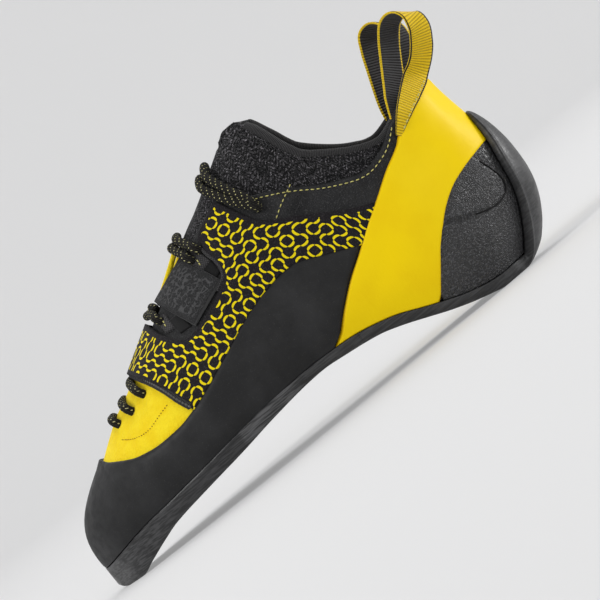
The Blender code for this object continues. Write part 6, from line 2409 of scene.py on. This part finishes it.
@dataclass
class Studio:
    """Pale sweep, soft lights and the rolled camera."""

    finish: Material
    roll: float = math.radians(38.86)
    toward_heel: float = math.radians(0.6)
    raised: float = math.radians(1.2)
    middle: tuple[float, float, float] = (-0.0781, 0.0, 0.0494)
    span: float = 0.2560
    distance: float = 1.6
    sensor: float = 36.0
    clip_end: float = 20.0
    world_light: float = 0.30
    floor_reach: float = 1.65
    bend: float = 0.5
    wall_height: float = 3.2
    wall_spread: float = 0.25
    floor_steps: int = 12
    bend_steps: int = 14
    around: int = 96
    lamps: tuple[tuple[str, Colour, float, float], ...] = (
        ("key_light", (-1.5, -0.9, 1.5), 1.1, 24.0),
        ("fill_light", (0.8, -1.7, 0.8), 1.4, 9.5),
        ("heel_light", (1.5, 0.25, 0.30), 0.45, 11.0),
        ("top_light", (0.3, 0.9, 1.8), 1.5, 15.0),
    )

    def way(self) -> Array:
        """Return the unit way from the shoe to the camera."""
        flat = math.cos(self.raised)
        return np.array(
            [flat * math.sin(self.toward_heel), -flat * math.cos(self.toward_heel), math.sin(self.raised)]
        )

    @staticmethod
    def put(held: Object, place: Array, right: Array, up: Array, back: Array) -> None:
        """Link an object into the scene at a place, facing away from the back."""
        bpy.context.scene.collection.objects.link(held)
        matrix = np.eye(4)
        matrix[:3, :3] = np.stack([right, up, back], axis=1)
        matrix[:3, 3] = place
        held.matrix_world = Matrix(matrix.tolist())

    def camera(self) -> None:
        """Place the camera, rolled so that the shoe stands on its toe's side of the picture."""
        back = self.way()
        right = unit(np.cross((0.0, 0.0, 1.0), back))
        up = np.cross(back, right)
        turned_right = math.cos(self.roll) * right - math.sin(self.roll) * up
        turned_up = math.sin(self.roll) * right + math.cos(self.roll) * up
        data = bpy.data.cameras.new("long_lens")
        data.sensor_width = self.sensor
        data.lens = self.sensor * self.distance / self.span
        data.clip_end = self.clip_end
        held = bpy.data.objects.new("long_lens", data)
        self.put(held, np.array(self.middle) + back * self.distance, turned_right, turned_up, back)
        bpy.context.scene.camera = held

    def sweep(self) -> None:
        """Build the floor and the backdrop as one sheet, bent up along a quarter circle behind the shoe."""
        turn = np.linspace(0, np.pi / 2, self.bend_steps)[1:]
        floor = np.linspace(0.0, self.floor_reach, self.floor_steps)
        radii = np.concatenate([floor, self.floor_reach + self.bend * np.sin(turn), [self.floor_reach + self.bend]])
        heights = np.concatenate([0 * floor, self.bend * (1 - np.cos(turn)), [self.wall_height]])
        angle = np.linspace(0, 2 * np.pi, self.around + 1)[:-1]
        wall = np.clip(np.sin(angle) + self.wall_spread, 0, 1)
        flat = (radii[:, None] * np.cos(angle), radii[:, None] * np.sin(angle))
        points = np.stack([*flat, heights[:, None] * wall], axis=-1)
        faces = belt_faces(len(radii), len(angle))[2][:, [0, 3, 2, 1]]
        sheet = fill_mesh("studio_sweep", points.reshape(-1, 3), faces, [self.finish], None)

    def light(self, name: str, place: Colour, size: float, power: float) -> None:
        """Add a soft square lamp that faces the shoe."""
        data = bpy.data.lights.new(name, "AREA")
        data.shape = "SQUARE"
        data.size = size
        data.energy = power
        back = unit(np.array(place) - np.array(self.middle))
        right = unit(np.cross((0.0, 0.0, 1.0), back))
        self.put(bpy.data.objects.new(name, data), place, right, np.cross(back, right), back)

    def build(self) -> None:
        """Build the whole studio."""
        world = bpy.data.worlds.new("pale_room")
        world.use_nodes = True
        shade = world.node_tree.nodes["Background"]
        shade.inputs["Color"].default_value = (1.0, 1.0, 1.0, 1.0)
        shade.inputs["Strength"].default_value = self.world_light
        bpy.context.scene.world = world
        self.sweep()
        for lamp in self.lamps:
            self.light(*lamp)
        self.camera()


def main() -> None:
    """Build the studio and every sub-assembly of the shoe, in order."""
    logging.basicConfig(level=logging.INFO, format="%(message)s")
    scene = bpy.context.scene
    scene.view_settings.view_transform = "Standard"
    for old in [o for o in scene.objects if o.type in {"CAMERA", "LIGHT"}]:
        bpy.data.objects.remove(old, do_unlink=True)
    Studio(StudioPaper().build()).build()
    last = Last()
    finishes = Finishes()
    for kind in (
        Upper, SockCollar, Insole, Soles, ToeRand, HeelCup, HeelBand, Harness, LaceTabs, Keepers,
        Lacing, PullLoops, Seams,
    ):
        piece = kind(last, finishes)
        piece.build()
        LOG.info("built %s", kind.__name__)


if __name__ == "__main__":
    main()
